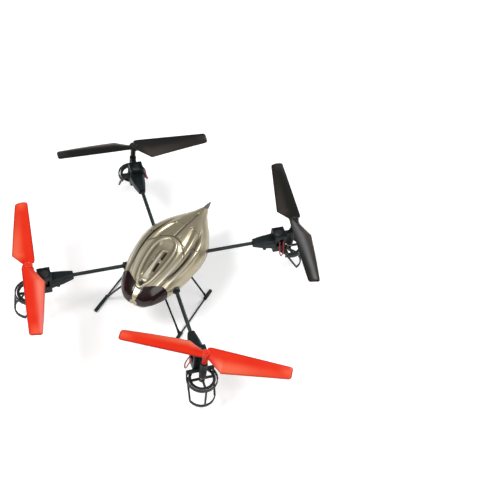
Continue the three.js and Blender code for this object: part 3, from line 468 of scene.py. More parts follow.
def ring_faces(rings: int, count: int) -> list[tuple[int, ...]]:
    """Faces of a skin through closed rings of count points each, with an end face at each end."""
    faces: list[tuple[int, ...]] = []
    for ring in range(rings - 1):
        for i in range(count):
            following = (i + 1) % count
            a, b = ring * count + i, ring * count + following
            faces.append((a, b, b + count, a + count))
    faces.append(tuple(range(count - 1, -1, -1)))
    last = (rings - 1) * count
    faces.append(tuple(range(last, last + count)))
    return faces


def turned(points: np.ndarray, degrees: float) -> np.ndarray:
    """Points turned about the vertical axis."""
    return points @ np.array(Matrix.Rotation(math.radians(degrees), 3, "Z")).T


def grid_faces(rows: int, columns: int) -> list[tuple[int, ...]]:
    """Faces of an open skin through rows of points."""
    return [
        (i * columns + j, i * columns + j + 1, (i + 1) * columns + j + 1, (i + 1) * columns + j)
        for i in range(rows - 1)
        for j in range(columns - 1)
    ]


def tube_points(path: np.ndarray, radii: Sequence[float], sides: int) -> np.ndarray:
    """Points of a round tube along a path.

    Args:
        path: An (n, 3) array of centres.
        radii: The radius at each centre.
        sides: Points in each ring.

    Returns:
        An (n * sides, 3) array.
    """
    tangents = np.gradient(path, axis=0)
    tangents /= np.linalg.norm(tangents, axis=1)[:, None]
    upright = abs(tangents[0][2]) >= NEARLY_UPRIGHT
    guide = np.array([1.0, 0.0, 0.0]) if upright else np.array([0.0, 0.0, 1.0])
    side = np.cross(guide, tangents[0])
    rings = []
    angles = np.linspace(0.0, 2 * math.pi, sides, endpoint=False)
    for centre, along, radius in zip(path, tangents, radii):
        side = side - along * np.dot(side, along)
        side /= np.linalg.norm(side)
        other = np.cross(along, side)
        around = np.outer(np.cos(angles), side) + np.outer(np.sin(angles), other)
        rings.append(centre + radius * around)
    return np.concatenate(rings)


def tube(
    name: str, path: np.ndarray, radii: Sequence[float], finish: Slot, sides: int
) -> bpy.types.Object:
    """Makes a round tube along a path in metres, with a radius at each point of the path."""
    points = tube_points(path, radii, sides)
    return mesh_object(name, points, ring_faces(len(path), sides), finish)


def soften(piece: bpy.types.Object, width: float) -> None:
    """Rounds the sharp edges of a piece, over a width in millimetres, after a weld."""
    weld = piece.modifiers.new("weld", "WELD")
    weld.merge_threshold = WELD_GAP
    bevel = piece.modifiers.new("soft_edges", "BEVEL")
    bevel.width = width * MM
    bevel.segments = BEVEL_SEGMENTS
    bevel.limit_method = "ANGLE"
    bevel.angle_limit = SHARP_ANGLE
    bevel.harden_normals = False


# ---- canopy detail ----


@dataclass
class Relief:
    """Moulded detail at many points of a surface.

    Attributes:
        height: Its height over the surface in millimetres, negative where it is sunk.
        painted_shade: How much painted shade each point gets, in furrows and hollows, 0 to 1.
        painted_highlight: How much painted highlight each point gets, on ridge tops, 0 to 1.
    """

    height: np.ndarray
    painted_shade: np.ndarray
    painted_highlight: np.ndarray

    def add(self, shape: np.ndarray, height: float = 0.0, shade_amount: float = 0.0, highlight_amount: float = 0.0) -> None:
        """Adds a shape, whose values go from 0 to 1, with its height and its shares of the two masks."""
        self.height += height * shape
        self.painted_shade += shade_amount * shape
        self.painted_highlight += highlight_amount * shape


@dataclass(frozen=True)
class SideLine:
    """A line that curves along each side of the canopy's top. Sizes are in millimetres.

    Attributes:
        reach: Its greatest distance from the middle.
        bend: How fast it comes in towards its ends.
        middle_y: Where it is farthest out.
        rise: Where it fades in behind the nose.
        fall: Where it fades out before the tail.
    """

    reach: float
    bend: float
    middle_y: float
    rise: Span
    fall: Span


@dataclass(frozen=True)
class Stroke:
    """A rounded ridge, raised or sunk, beside a side line. Sizes are in millimetres.

    Attributes:
        line: The line that it follows.
        offset: How much farther out it runs.
        width: Its width.
        height: Its height over the surface, negative where it is sunk.
        shade_amount: How much painted shade it adds.
        highlight_amount: How much painted highlight it adds near the nose.
    """

    line: SideLine
    offset: float
    width: float
    height: float = 0.0
    shade_amount: float = 0.0
    highlight_amount: float = 0.0

    def add_to(self, relief: Relief, side: np.ndarray, y: np.ndarray, near_nose: np.ndarray) -> None:
        """Adds the stroke to a relief, at distances from the middle and places along the body."""
        place = self.line.reach - self.line.bend * (y - self.line.middle_y) ** 2
        shape = ridge(side, place + self.offset, self.width) * span(y, self.line.rise, self.line.fall)
        # Its height and painted shade, then its painted highlight near the nose.
        relief.add(shape, self.height, self.shade_amount)
        relief.add(shape * near_nose, highlight_amount=self.highlight_amount)


SHOULDER = SideLine(16.6, 0.0042, -2.0, (-42.0, -30.0), (24.0, 46.0))
OUTER = SideLine(23.4, 0.0058, 3.0, (-36.0, -24.0), (20.0, 38.0))
# Some strokes shape the side ridges, some paint shade in the furrows beside them, and some paint a highlight
# on their tops.
STROKES = (
    Stroke(SHOULDER, 0.0, 1.9, height=0.95),
    Stroke(SHOULDER, 3.6, 1.5, height=-0.95),
    Stroke(SHOULDER, -3.6, 1.8, height=-0.5),
    Stroke(SHOULDER, 3.4, 1.1, shade_amount=0.6),
    Stroke(SHOULDER, 0.0, 1.5, highlight_amount=0.75),
    Stroke(OUTER, 0.0, 1.6, height=0.8),
    Stroke(OUTER, -2.8, 1.0, shade_amount=0.6),
    Stroke(OUTER, 0.0, 1.4, highlight_amount=0.6),
)
# Of each rivet, on both sides: its distance from the middle and its place along the body.
RIVETS = (
    (2.9, 35.4), (5.4, 34.9), (7.9, 34.2), (10.4, 33.3), (12.9, 32.2),
    (11.0, 9.5), (4.4, 17.0), (20.2, 14.0), (22.0, 13.0),
)


@dataclass(frozen=True)
class Hood:
    """The hood on the canopy's top: a rim round a sunk floor, with a bar along it and slots beside the bar.

    Sizes are in millimetres. Of a pair, the first is where something starts and the second where it ends.
    """

    front_y: float = -43.0
    rear_y: float = 10.0
    half_width: float = 9.4
    widest: float = 0.66
    fullness: float = 0.9
    least_half_width: float = 0.3
    past_end: float = 4.0
    past_end_growth: float = 0.05
    middle_y: float = -16.0
    rim_rise: Span = (-47.0, -41.0)
    rim_fall: Span = (11.5, 13.5)
    floor_edge: Span = (-3.4, -1.2)
    floor_rise: Span = (-37.0, -30.0)
    floor_fall: Span = (-3.0, 6.5)
    bar_edge: Span = (0.9, 1.7)
    bar_taper: float = 0.4
    bar_widens: Span = (14.0, 30.0)
    bar_rise: Span = (-38.0, -34.0)
    bar_fall: Span = (-5.5, -3.0)
    bar_height: float = 1.7
    bar_least: float = 0.35
    bar_highlight: Span = (6.0, 12.0)
    slots: tuple[Span, ...] = ((-27.5, -16.6), (-14.2, -3.4))
    slot_x: float = 3.1
    slot_width: float = 0.75
    slot_end: float = 1.0
    starboard_slot: float = 0.3

    def outside(self, side: np.ndarray, y: np.ndarray) -> np.ndarray:
        """How far each point lies outside the rim's line, negative over the floor."""
        share = np.clip((y - self.front_y) / (self.rear_y - self.front_y), 0.0, 1.0)
        reach = np.where(share > self.widest, 1 - self.widest, self.widest)
        round_end = np.sqrt(np.clip(1 - ((share - self.widest) / reach) ** 2, 0, 1))
        half = self.half_width * round_end ** self.fullness
        past_end = self.past_end + np.abs(y - self.middle_y) * self.past_end_growth
        return np.where(half > self.least_half_width, side - half, past_end)

    def slot_shape(self, x: np.ndarray, y: np.ndarray) -> np.ndarray:
        """The slots, 0 to 1: deep ones to port of the bar and faint ones to starboard."""
        across = ridge(x, self.slot_x, self.slot_width)
        across = across + self.starboard_slot * ridge(x, -self.slot_x, self.slot_width)
        ends = [((low, low + self.slot_end), (high - self.slot_end, high)) for low, high in self.slots]
        return across * sum(span(y, rise, fall) for rise, fall in ends)

    def add_to(self, relief: Relief, x: np.ndarray, y: np.ndarray) -> None:
        """Adds the hood to a relief."""
        side = np.abs(x)
        outside = self.outside(side, y)
        near = span(y, self.rim_rise, self.rim_fall)
        floor = (1 - smooth_step(outside, *self.floor_edge)) * span(y, self.floor_rise, self.floor_fall)
        taper = 1 - self.bar_taper * smooth_step(-y, *self.bar_widens)
        bar = (1 - smooth_step(side * taper, *self.bar_edge)) * span(y, self.bar_rise, self.bar_fall)
        relief.add(ridge(outside, 0.0, 1.3) * near, height=1.4)
        # A painted highlight along the top of the rim.
        relief.add(ridge(outside, 0.0, 1.1) * near, highlight_amount=0.5)
        # Painted shade just outside and just inside the rim.
        relief.add(ridge(outside, 2.0, 0.8) * near, shade_amount=0.4)
        relief.add(ridge(outside, -1.9, 0.7) * near, shade_amount=0.35)
        relief.add(floor, height=-1.9)
        # Painted shade on the floor beside the bar.
        relief.add(floor * (1 - bar), shade_amount=0.35)
        relief.add(bar * np.maximum(floor, self.bar_least), height=self.bar_height)
        # A painted highlight on the bar towards the nose.
        relief.add(bar * smooth_step(-y, *self.bar_highlight), highlight_amount=0.9)
        # The slots are sunk and filled with painted shade.
        relief.add(self.slot_shape(x, y), height=-2.2, shade_amount=0.95)


# ---- canopy ----


@dataclass
class Canopy:
    """The leaf-shaped shell and the tail spike. Sizes are in millimetres.

    Attributes:
        rise: Greatest height of the crown over the waist, which is its widest line.
        lip_tuck: The lower edge's width as a share of the waist's.
        nose_lip: The lip's drop at the very nose, as a share of the full one.
        waist_across: Share of the way from the crown to the lip at which the waist lies.
        power: Fullness of the cross-section, 2 for an ellipse.
        inset: Share of the full size that the plain surface takes.
        closing: Share of the length over which the nose closes.
        stations: Rings of points from nose to tail, each with as many as around.
        detail_rise: Heights over which the detail fades in.
        nose_detail: Where the painted highlights on the side ridges fade out.
        width: Half-width along the body, as a share of the greatest.
        crown: Height of the crown along the body, as a share of the greatest.
        drop: How far the waist comes down along the body.
    """

    nose_y: float = -53.4
    tail_y: float = 72.0
    half_width: float = 29.6
    rise: float = 18.8
    waist: float = 42.4
    lip: float = 38.2
    lip_tuck: float = 0.86
    lip_gap: float = 0.1
    nose_lip: float = 0.35
    waist_across: float = 0.82
    power: float = 2.2
    inset: float = 0.995
    closing: float = 0.015
    least_closing: float = 0.02
    wall: float = 1.2
    stations: int = 300
    around: int = 220
    detail_rise: Span = (43.5, 46.5)
    nose_detail: Span = (-22.0, 6.0)
    screw_y: float = -40.9
    hood: Hood = field(default=Hood())
    width: Callable = field(default=curve_through([
        (0, 0.14), (0.02, 0.32), (0.05, 0.47), (0.1, 0.62), (0.17, 0.75), (0.27, 0.88), (0.39, 0.96),
        (0.51, 1), (0.61, 0.96), (0.7, 0.83), (0.79, 0.63), (0.89, 0.36), (0.95, 0.21), (1, 0.12),
    ]))
    crown: Callable = field(default=curve_through([
        (0, 0.24), (0.03, 0.42), (0.09, 0.66), (0.17, 0.85), (0.3, 0.98), (0.42, 1), (0.54, 0.92),
        (0.67, 0.73), (0.8, 0.48), (0.9, 0.3), (1, 0.16),
    ]))
    drop: Callable = field(default=curve_through([(0, 0), (0.5, 0.3), (0.8, 1.5), (1, 3.4)]))

    def share_at(self, y: np.ndarray) -> np.ndarray:
        """Share of the way from the nose to the tail at a place along the body."""
        return (y - self.nose_y) / (self.tail_y - self.nose_y)

    def plain(self, share: np.ndarray, across: np.ndarray) -> np.ndarray:
        """The undetailed surface.

        Args:
            share: 0 at the nose to 1 at the tail.
            across: -1 at the starboard lip, 0 at the crown, 1 at the port lip.

        Returns:
            Points in millimetres above the ground, in the last axis.
        """
        closing = np.sqrt(np.clip(share / self.closing, self.least_closing, 1.0))
        half = self.half_width * self.width(share) * closing * self.inset
        rise = self.rise * self.crown(share) * closing * self.inset
        waist = self.waist - self.drop(share)
        side = np.abs(across)
        upper = np.clip(side / self.waist_across, 0.0, 1.0) * (math.pi / 2)
        lower = np.clip((side - self.waist_across) / (1 - self.waist_across), 0.0, 1.0)
        x = half * np.sin(upper) ** (2 / self.power) * (1 - (1 - self.lip_tuck) * lower ** 1.6)
        z = waist + rise * np.clip(np.cos(upper), 0, 1) ** (2 / self.power)
        depth = self.nose_lip + (1 - self.nose_lip) * closing
        z = z - (waist - self.lip - self.lip_gap) * lower * depth
        y = self.nose_y + share * (self.tail_y - self.nose_y)
        return np.stack([np.sign(across) * x, y + 0 * x, z], axis=-1)

    def normals(self, share: np.ndarray, across: np.ndarray) -> np.ndarray:
        """Outward unit normals of the undetailed surface."""
        step = 1e-3
        tiny = 1e-9
        forward = np.clip(share + step, 0, 1)
        backward = np.clip(share - step, 0, 1)
        along = self.plain(forward, across) - self.plain(backward, across)
        over = self.plain(share, across + step) - self.plain(share, across - step)
        normal = np.cross(over, along)
        length = np.linalg.norm(normal, axis=-1, keepdims=True)
        upwards = np.array([0.0, 0.0, 1.0])
        return np.where(length < 100 * tiny, upwards, normal / np.maximum(length, tiny))

    @staticmethod
    def seams(x: np.ndarray, y: np.ndarray, width: float) -> np.ndarray:
        """How far each point lies in the spine's or the hood's seam, 0 to 1, for a seam's width."""
        bow = 14.2 - 0.052 * x ** 2
        cross = ridge(y, bow, width) * (1 - smooth_step(np.abs(x), 17.0, 18.0))
        spine = ridge(x, 0.0, width) * span(y, (13.6, 14.4), (69.0, 71.0))
        return np.maximum(cross, spine)

    def detail(self, place: np.ndarray) -> Relief:
        """The moulded detail: hood, side lines, seams, rivets and the screw's well.

        Args:
            place: Points of the undetailed surface in millimetres.

        Returns:
            The relief at those points, with its painted shade and painted highlight.
        """
        x, y = place[..., 0], place[..., 1]
        side = np.abs(x)
        relief = Relief(np.zeros_like(x), np.zeros_like(x), np.zeros_like(x))
        self.hood.add_to(relief, x, y)
        near_nose = 1 - smooth_step(y, *self.nose_detail)
        for stroke in STROKES:
            stroke.add_to(relief, side, y, near_nose)
        relief.add(self.seams(x, y, width=0.55), height=-0.5)
        # Painted shade along the seams.
        relief.add(self.seams(x, y, width=0.95), shade_amount=0.85)
        rivets = [ridge(np.hypot(side - rivet_x, y - rivet_y), 0.0, 0.7) for rivet_x, rivet_y in RIVETS]
        # The rivet holes are sunk and filled with painted shade.
        relief.add(np.maximum.reduce(rivets), height=-0.35, shade_amount=0.8)
        from_screw = np.sqrt(x ** 2 + (y - self.screw_y) ** 2)
        relief.add(ridge(from_screw, 3.3, 1.1), height=0.9)
        relief.add(1 - smooth_step(from_screw, 1.4, 2.3), height=-1.1)
        # Painted shade in the screw's well.
        relief.add(1 - smooth_step(from_screw, 1.5, 2.1), shade_amount=1.0)
        on_top = smooth_step(place[..., 2], *self.detail_rise)
        # The painted shade and painted highlight are kept between 0 and 1, with no highlight where there is
        # shade.
        painted_shade = np.clip(relief.painted_shade, 0, 1)
        painted_highlight = np.clip(relief.painted_highlight, 0, 1) * (1 - painted_shade)
        return Relief(relief.height * on_top, painted_shade * on_top, painted_highlight * on_top)

    def to_frame(self, place: np.ndarray) -> np.ndarray:
        """Millimetres above the ground to metres in the frame."""
        return place * MM + np.array([0.0, 0.0, GROUND])

    def shell(self) -> bpy.types.Object:
        """Builds the detailed shell, with its rings of points closer together near both ends."""
        raw = np.linspace(0.0, 1.0, self.stations)
        crowding = 0.35
        share = crowding * (1 - np.cos(raw * math.pi)) / 2 + (1 - crowding) * raw
        across = np.linspace(-1.0, 1.0, self.around)
        grid_share, grid_across = np.meshgrid(share, across, indexing="ij")
        plain = self.plain(grid_share, grid_across)
        relief = self.detail(plain)
        place = plain + self.normals(grid_share, grid_across) * relief.height[..., None]
        place[..., 1] = np.clip(place[..., 1], self.nose_y, self.tail_y)
        faces = grid_faces(self.stations, self.around)
        piece = mesh_object("canopy_shell", self.to_frame(place.reshape(-1, 3)), faces, Slot.SHELL)
        # The finish reads these two masks as painted shade and painted highlight.
        mark_points(piece, "painted_shade_mark", relief.painted_shade)
        mark_points(piece, "painted_highlight_mark", relief.painted_highlight)
        thicken(piece, self.wall)
        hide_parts("canopy")
        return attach(piece, AIRFRAME)

    def tail(self) -> bpy.types.Object:
        """Builds the tail spike, a round cone with a collar that droops slightly."""
        low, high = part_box("tail_tip")
        middle = (low.z + high.z) / 2
        start = (self.tail_y - TAIL_COLLAR) * MM
        length = high.y - start
        path = [(0.0, start + share * length, middle - TAIL_DROOP * MM * share) for share, _ in TAIL_PROFILE]
        radii = [scale * (high.x - low.x) / 2 for _, scale in TAIL_PROFILE]
        piece = tube("tail_spike", np.array(path), radii, Slot.TAIL, 28)
        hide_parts("tail_tip")
        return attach(piece, AIRFRAME)

    def build(self) -> list[bpy.types.Object]:
        """Builds every piece of the canopy."""
        return [self.shell(), Window(self, 1).build(), Window(self, -1).build(), self.tail()]


@dataclass
class Window:
    """One tinted window: a slightly domed pane let into the nose. Sizes are in millimetres.

    Attributes:
        hand: 1 for port, -1 for starboard.
        front_share: Where it starts, as a share of the body's length.
        crowding: How much closer its rows lie near the nose.
        stripe: Half-width of the stripe between the two windows.
        least_half: Least half-width of the body that the stripe is measured against.
        last_across: How far round towards the lip it reaches.
        rim_scale: How much sooner the rim rises along the body than round it.
        sunk: How far its edge lies under the surface.
        dome: How far its middle stands over its edge.
        rear_edge: Where it ends along the body, from the stripe (0) round to the side (1).
    """

    canopy: Canopy
    hand: int
    rows: int = 60
    columns: int = 70
    front_share: float = 0.004
    crowding: float = 1.15
    stripe: float = 1.9
    least_half: float = 2.4
    last_across: float = 0.93
    rim_scale: float = 1.2
    rim_width: float = 0.045
    sunk: float = 0.25
    dome: float = 0.75
    wall: float = 0.6
    rear_edge: Callable = field(default=curve_through([
        (0, -43.6), (0.14, -40.6), (0.3, -36.2), (0.45, -33.6), (0.62, -32.6), (0.8, -33.2), (1.0, -35.4),
    ]))

    def surface(self) -> np.ndarray:
        """Points of the pane in rows from the nose, in millimetres."""
        canopy = self.canopy
        down, out = np.meshgrid(np.linspace(0, 1, self.rows), np.linspace(0, 1, self.columns), indexing="ij")
        length = canopy.share_at(self.rear_edge(out)) - self.front_share
        share = self.front_share + length * down ** self.crowding
        half = canopy.half_width * canopy.width(share)
        start = np.clip(self.stripe / np.maximum(half, self.least_half), 0.0, 0.98)
        turn = np.arcsin(np.clip(start ** (canopy.power / 2), 0, 1)) / (math.pi / 2)
        first = canopy.waist_across * turn
        across = self.hand * (first + (self.last_across - first) * out)
        rims = [out, 1 - out, down * self.rim_scale, (1 - down) * self.rim_scale]
        lift = self.dome * smooth_step(np.minimum.reduce(rims), 0.0, self.rim_width) - self.sunk
        place = canopy.plain(share, across) + canopy.normals(share, across) * lift[..., None]
        place[..., 1] = np.maximum(place[..., 1], canopy.nose_y)
        return place

    def build(self) -> bpy.types.Object:
        """Builds the pane."""
        side = "port" if self.hand > 0 else "starboard"
        faces = grid_faces(self.rows, self.columns)
        if self.hand < 0:
            faces = [face[::-1] for face in faces]
        points = self.canopy.to_frame(self.surface().reshape(-1, 3))
        piece = mesh_object("window_pane_" + side, points, faces, Slot.WINDOW)
        thicken(piece, self.wall)
        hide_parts("window_" + side)
        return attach(piece, AIRFRAME)


# ---- rotors ----


@dataclass
class Rotor:
    """One two-bladed rotor with its hub and stem. Sizes are in millimetres, pitches in degrees.

    Attributes:
        rest_angle: Direction of its first blade at rest, in degrees from +X.
        height: Height of the blades' line.
        widest: Distance from the axis at which the blades are widest.
        leading: Greatest distance from the blades' line to the leading edge.
        leading_taper: That distance at the tip, as a share.
        root_lead: That distance at the axis, as a share.
        root_blend: Distances from the axis over which it grows to the full one.
        trailing: Greatest distance from the blades' line to the trailing edge.
        neck_chord: Width of the blades where they leave the hub.
        camber: Height of the blades' arch, as a share of their width, times four.
        corner_length: How far the corner at the widest place is rounded.
        tip_length: How far in the tips start to round.
        tip_trim: How far the tips' corners are pulled in.
    """

    corner: Corner
    spin: Spin
    rest_angle: float
    finish: Slot
    radius: float = 68.5
    height: float = 66.5
    widest: float = 15.0
    leading: float = 6.0
    leading_taper: float = 0.86
    root_lead: float = 0.88
    root_blend: Span = (0.5, 4.0)
    trailing: float = 12.8
    tip_chord: float = 10.5
    neck_chord: float = 9.0
    hub_radius: float = 3.6
    thickness: float = 1.5
    camber: float = 0.22
    root_pitch: float = 24.0
    tip_pitch: float = 8.0
    corner_length: float = 0.8
    tip_length: float = 2.4
    tip_trim: float = 2.1

    def edges(self, radius: float) -> tuple[float, float]:
        """Distances from the blade's line to its leading and trailing edges at a radius."""
        leading = self.leading * (1 - (1 - self.leading_taper) * radius / self.radius)
        leading *= self.root_lead + (1 - self.root_lead) * float(smooth_step(radius, *self.root_blend))
        corner = self.widest - self.corner_length
        if radius > corner:
            tip = self.tip_chord - self.leading * self.leading_taper
            drop = (self.trailing - tip) / (self.radius - self.widest)
            rounded = 0.5 * max(0.0, 1.0 - (radius - corner) / (2 * self.corner_length)) ** 2
            return leading, self.trailing - drop * (radius - self.widest) - rounded - 2 * EDGE_INSET
        neck = self.neck_chord / 2
        grow = max(0.0, (radius - self.hub_radius) / (self.widest - self.hub_radius))
        return leading, neck + (self.trailing - neck) * grow - EDGE_INSET

    def section(self, radius: float, trim: float, flip: float, scale: float = 1.0) -> np.ndarray:
        """One closed section across the blade.

        Args:
            radius: Its distance from the axis.
            trim: How far both edges are pulled in, to round the tip.
            flip: 1 for anticlockwise rotors and -1 for clockwise ones.
            scale: Thickness as a share of the full one.

        Returns:
            A ring of points about the hub's middle.
        """
        leading, trailing = self.edges(radius)
        front, back = leading - trim, -trailing + trim
        chord = front - back
        share = radius / self.radius
        pitch = math.radians(self.root_pitch + (self.tip_pitch - self.root_pitch) * share)
        camber = chord * self.camber * CHORD_STATIONS * (1 - CHORD_STATIONS)
        fullness = np.sin(math.pi * np.minimum(CHORD_STATIONS * 0.86 + 0.09, 1))
        thick = self.thickness * scale * (0.12 + 0.88 * fullness)
        upper = np.stack([front - chord * CHORD_STATIONS, camber + thick / 2], axis=1)
        lower = np.stack([front - chord * CHORD_STATIONS, camber - thick / 2], axis=1)[::-1]
        around = np.concatenate([upper, lower])
        y = around[:, 0] * math.cos(pitch) - around[:, 1] * math.sin(pitch)
        z = around[:, 0] * math.sin(pitch) + around[:, 1] * math.cos(pitch)
        return np.stack([np.full_like(y, radius), y * flip, z], axis=1)

    def blade(self, flip: float) -> Skin:
        """Points and faces of one blade along +X."""
        inner = np.linspace(0.8, self.widest - 1.4, 28)
        corner = np.linspace(self.widest - 0.9, self.widest + 1.4, 9)
        outer = np.linspace(self.widest + 3.0, self.radius - self.tip_length - 0.2, 30)
        rings = [self.section(radius, 0.0, flip) for radius in np.concatenate([inner, corner, outer])]
        for turn in np.linspace(0.12, 1.0, TIP_RINGS):
            reach = self.radius - self.tip_length + self.tip_length * math.sin(turn * math.pi / 2)
            trim = self.tip_trim * (1 - math.cos(turn * math.pi / 2))
            rings.append(self.section(reach, trim, flip, 1.0 - 0.6 * turn))
        faces = ring_faces(len(rings), len(rings[0]))
        if flip < 0:
            faces = [face[::-1] for face in faces]
        return np.concatenate(rings), faces

    def hub(self) -> Skin:
        """Points and faces of the turned hub: a domed boss with a hollow top, and the stem below it."""
        angles = np.linspace(0, 2 * math.pi, HUB_SIDES, endpoint=False)
        circle = np.stack([np.cos(angles), -np.sin(angles), np.zeros(HUB_SIDES)], axis=1)
        rings = [circle * max(radius, 0.02) + np.array([0, 0, z]) for radius, z in HUB_PROFILE]
        return np.concatenate(rings), ring_faces(len(rings), HUB_SIDES)

    def marks(self, total: int) -> dict[str, np.ndarray]:
        """Where painted shade darkens the blades' rims and tips, and where painted highlights lighten them.

        Args:
            total: Points in the whole rotor; those after the blades' belong to the hub.

        Returns:
            A value from 0 to 1 for each point, for the painted shade and for the painted highlight.
        """
        across = np.concatenate([CHORD_STATIONS, CHORD_STATIONS[::-1]])
        reach = self.blade(1.0)[0][::len(across), 0] / self.radius
        # Painted shade along both edges of each blade and at its tip.
        rim = np.tile(smooth_step(np.abs(across - 0.5), 0.43, 0.49), (len(reach), 1))
        rim[-4:] = 1.0
        # A painted highlight towards the trailing edge near the root, and across the middle near the tips.
        strength = 0.25 + 0.75 * (1 - smooth_step(reach, 0.25, 0.8))
        painted_sheen = np.outer(strength * smooth_step(reach, 0.08, 0.2), smooth_step(across, 0.35, 0.75))
        painted_sheen = np.maximum(painted_sheen, 0.7 * np.outer(smooth_step(reach, 0.8, 0.97), ridge(across, 0.5, 0.35)))
        result = {}
        for name, blade, share in (("painted_shade_mark", rim, 0.85), ("painted_highlight_mark", painted_sheen, 0.75)):
            values = np.zeros(total)
            values[:2 * blade.size] = np.tile(blade.reshape(-1), 2) * share
            result[name] = values
        return result

    def build(self) -> bpy.types.Object:
        """Builds the rotor at its rest angle."""
        shape, skin = self.blade(float(self.spin.value))
        hub, hub_skin = self.hub()
        points = np.zeros((0, 3))
        faces: list[tuple[int, ...]] = []
        for turn, part, part_skin in ((0, shape, skin), (180, shape, skin), (0, hub, hub_skin)):
            faces += [tuple(index + len(points) for index in face) for face in part_skin]
            points = np.concatenate([points, turned(part, turn)])
        low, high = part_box("rotor_shaft_" + self.corner.value)
        axis = np.array([(low.x + high.x) / 2, (low.y + high.y) / 2, GROUND + self.height * MM])
        placed = turned(points, self.rest_angle) * MM + axis
        piece = mesh_object("rotor_blades_" + self.corner.value, placed, faces, self.finish)
        for name, values in self.marks(len(points)).items():
            mark_points(piece, name, values)
        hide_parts("rotor_" + self.corner.value)
        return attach(piece, "rotor_set_" + self.corner.value)


# ---- arms and the other pieces ----


@dataclass
class Arm:
    """One arm tube with rounded ends. Sizes are in millimetres.

    Attributes:
        reach_in: Distance of its inner end from the middle of the aircraft.
        reach_out: Distance of its outer end.
        rounding: Length of its rounded ends.
        end_scale: Radius of its end faces, as a share.
    """

    corner: Corner
    reach_in: float = 16.0
    reach_out: float = 91.2
    height: float = 44.4
    radius: float = 1.6
    rounding: float = 0.3
    end_scale: float = 0.85

    def build(self) -> bpy.types.Object:
        """Builds the arm."""
        low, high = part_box("arm_" + self.corner.value)
        signs = [math.copysign(1, low.x + high.x), math.copysign(1, low.y + high.y), 0.0]
        out = np.array(signs) / math.sqrt(2)
        lift = np.array([0, 0, GROUND + self.height * MM])
        first, last = self.reach_in, self.reach_out
        places = (first, first + self.rounding, last - self.rounding, last)
        path = np.array([out * place * MM + lift for place in places])
        radii = [self.radius * MM * scale for scale in (self.end_scale, 1.0, 1.0, self.end_scale)]
        piece = tube("arm_tube_" + self.corner.value, path, radii, Slot.ROD, 24)
        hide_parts("arm_" + self.corner.value)
        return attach(piece, AIRFRAME)


@dataclass
class DressedNodes:
    """CAD nodes whose shape stays: they get their finish and, where asked, softened edges.

    Attributes:
        soft: How far edges are softened, in millimetres, by the start of the nodes' names.
    """

    soft: dict[str, float] = field(default_factory=lambda: {
        "motor_mount": 0.5, "gear_guard": 0.3, "leg": 0.2, "battery_box": 0.5, "battery": 0.4,
        "centre_frame": 0.4, "circuit_board": 0.1, "battery_plug": 0.2, "canopy_screw": 0.15,
        "motor": 0.2, "motor_lead": 0.0,
    })

    def soft_width(self, name: str) -> float:
        """How far a node's edges are softened, by the longest start of its name that is listed."""
        starts = [start for start in self.soft if name.startswith(start)]
        return self.soft[max(starts, key=len)] if starts else 0.0

    def build(self) -> list[bpy.types.Object]:
        """Dresses every node that is still shown."""
        slots = {row["node"]: Slot(row["material_slot"]) for row in frame["record"]["subparts"]}
        dressed = []
        for name, node in frame["nodes"].items():
            if node.hide_render:
                continue
            node.data.materials.clear()
            node.data.materials.append(FINISHES[slots[name]].build())
            width = self.soft_width(name)
            if width > 0:
                soften(node, width)
            dressed.append(node)
        return dressed


# ---- stage ----


@dataclass(frozen=True)
class Lamp:
    """A square soft lamp that faces the aircraft. Its place and size are in metres, its power in watts."""

    name: str
    place: Point
    size: float
    power: float

    def build(self) -> None:
        """Hangs the lamp."""
        data = bpy.data.lights.new(self.name, "AREA")
        data.size = self.size
        data.energy = self.power
        lamp = bpy.data.objects.new(self.name, data)
        lamp.location = self.place
        lamp.rotation_euler = Vector(self.place).to_track_quat("Z", "Y").to_euler()
        bpy.context.scene.collection.objects.link(lamp)


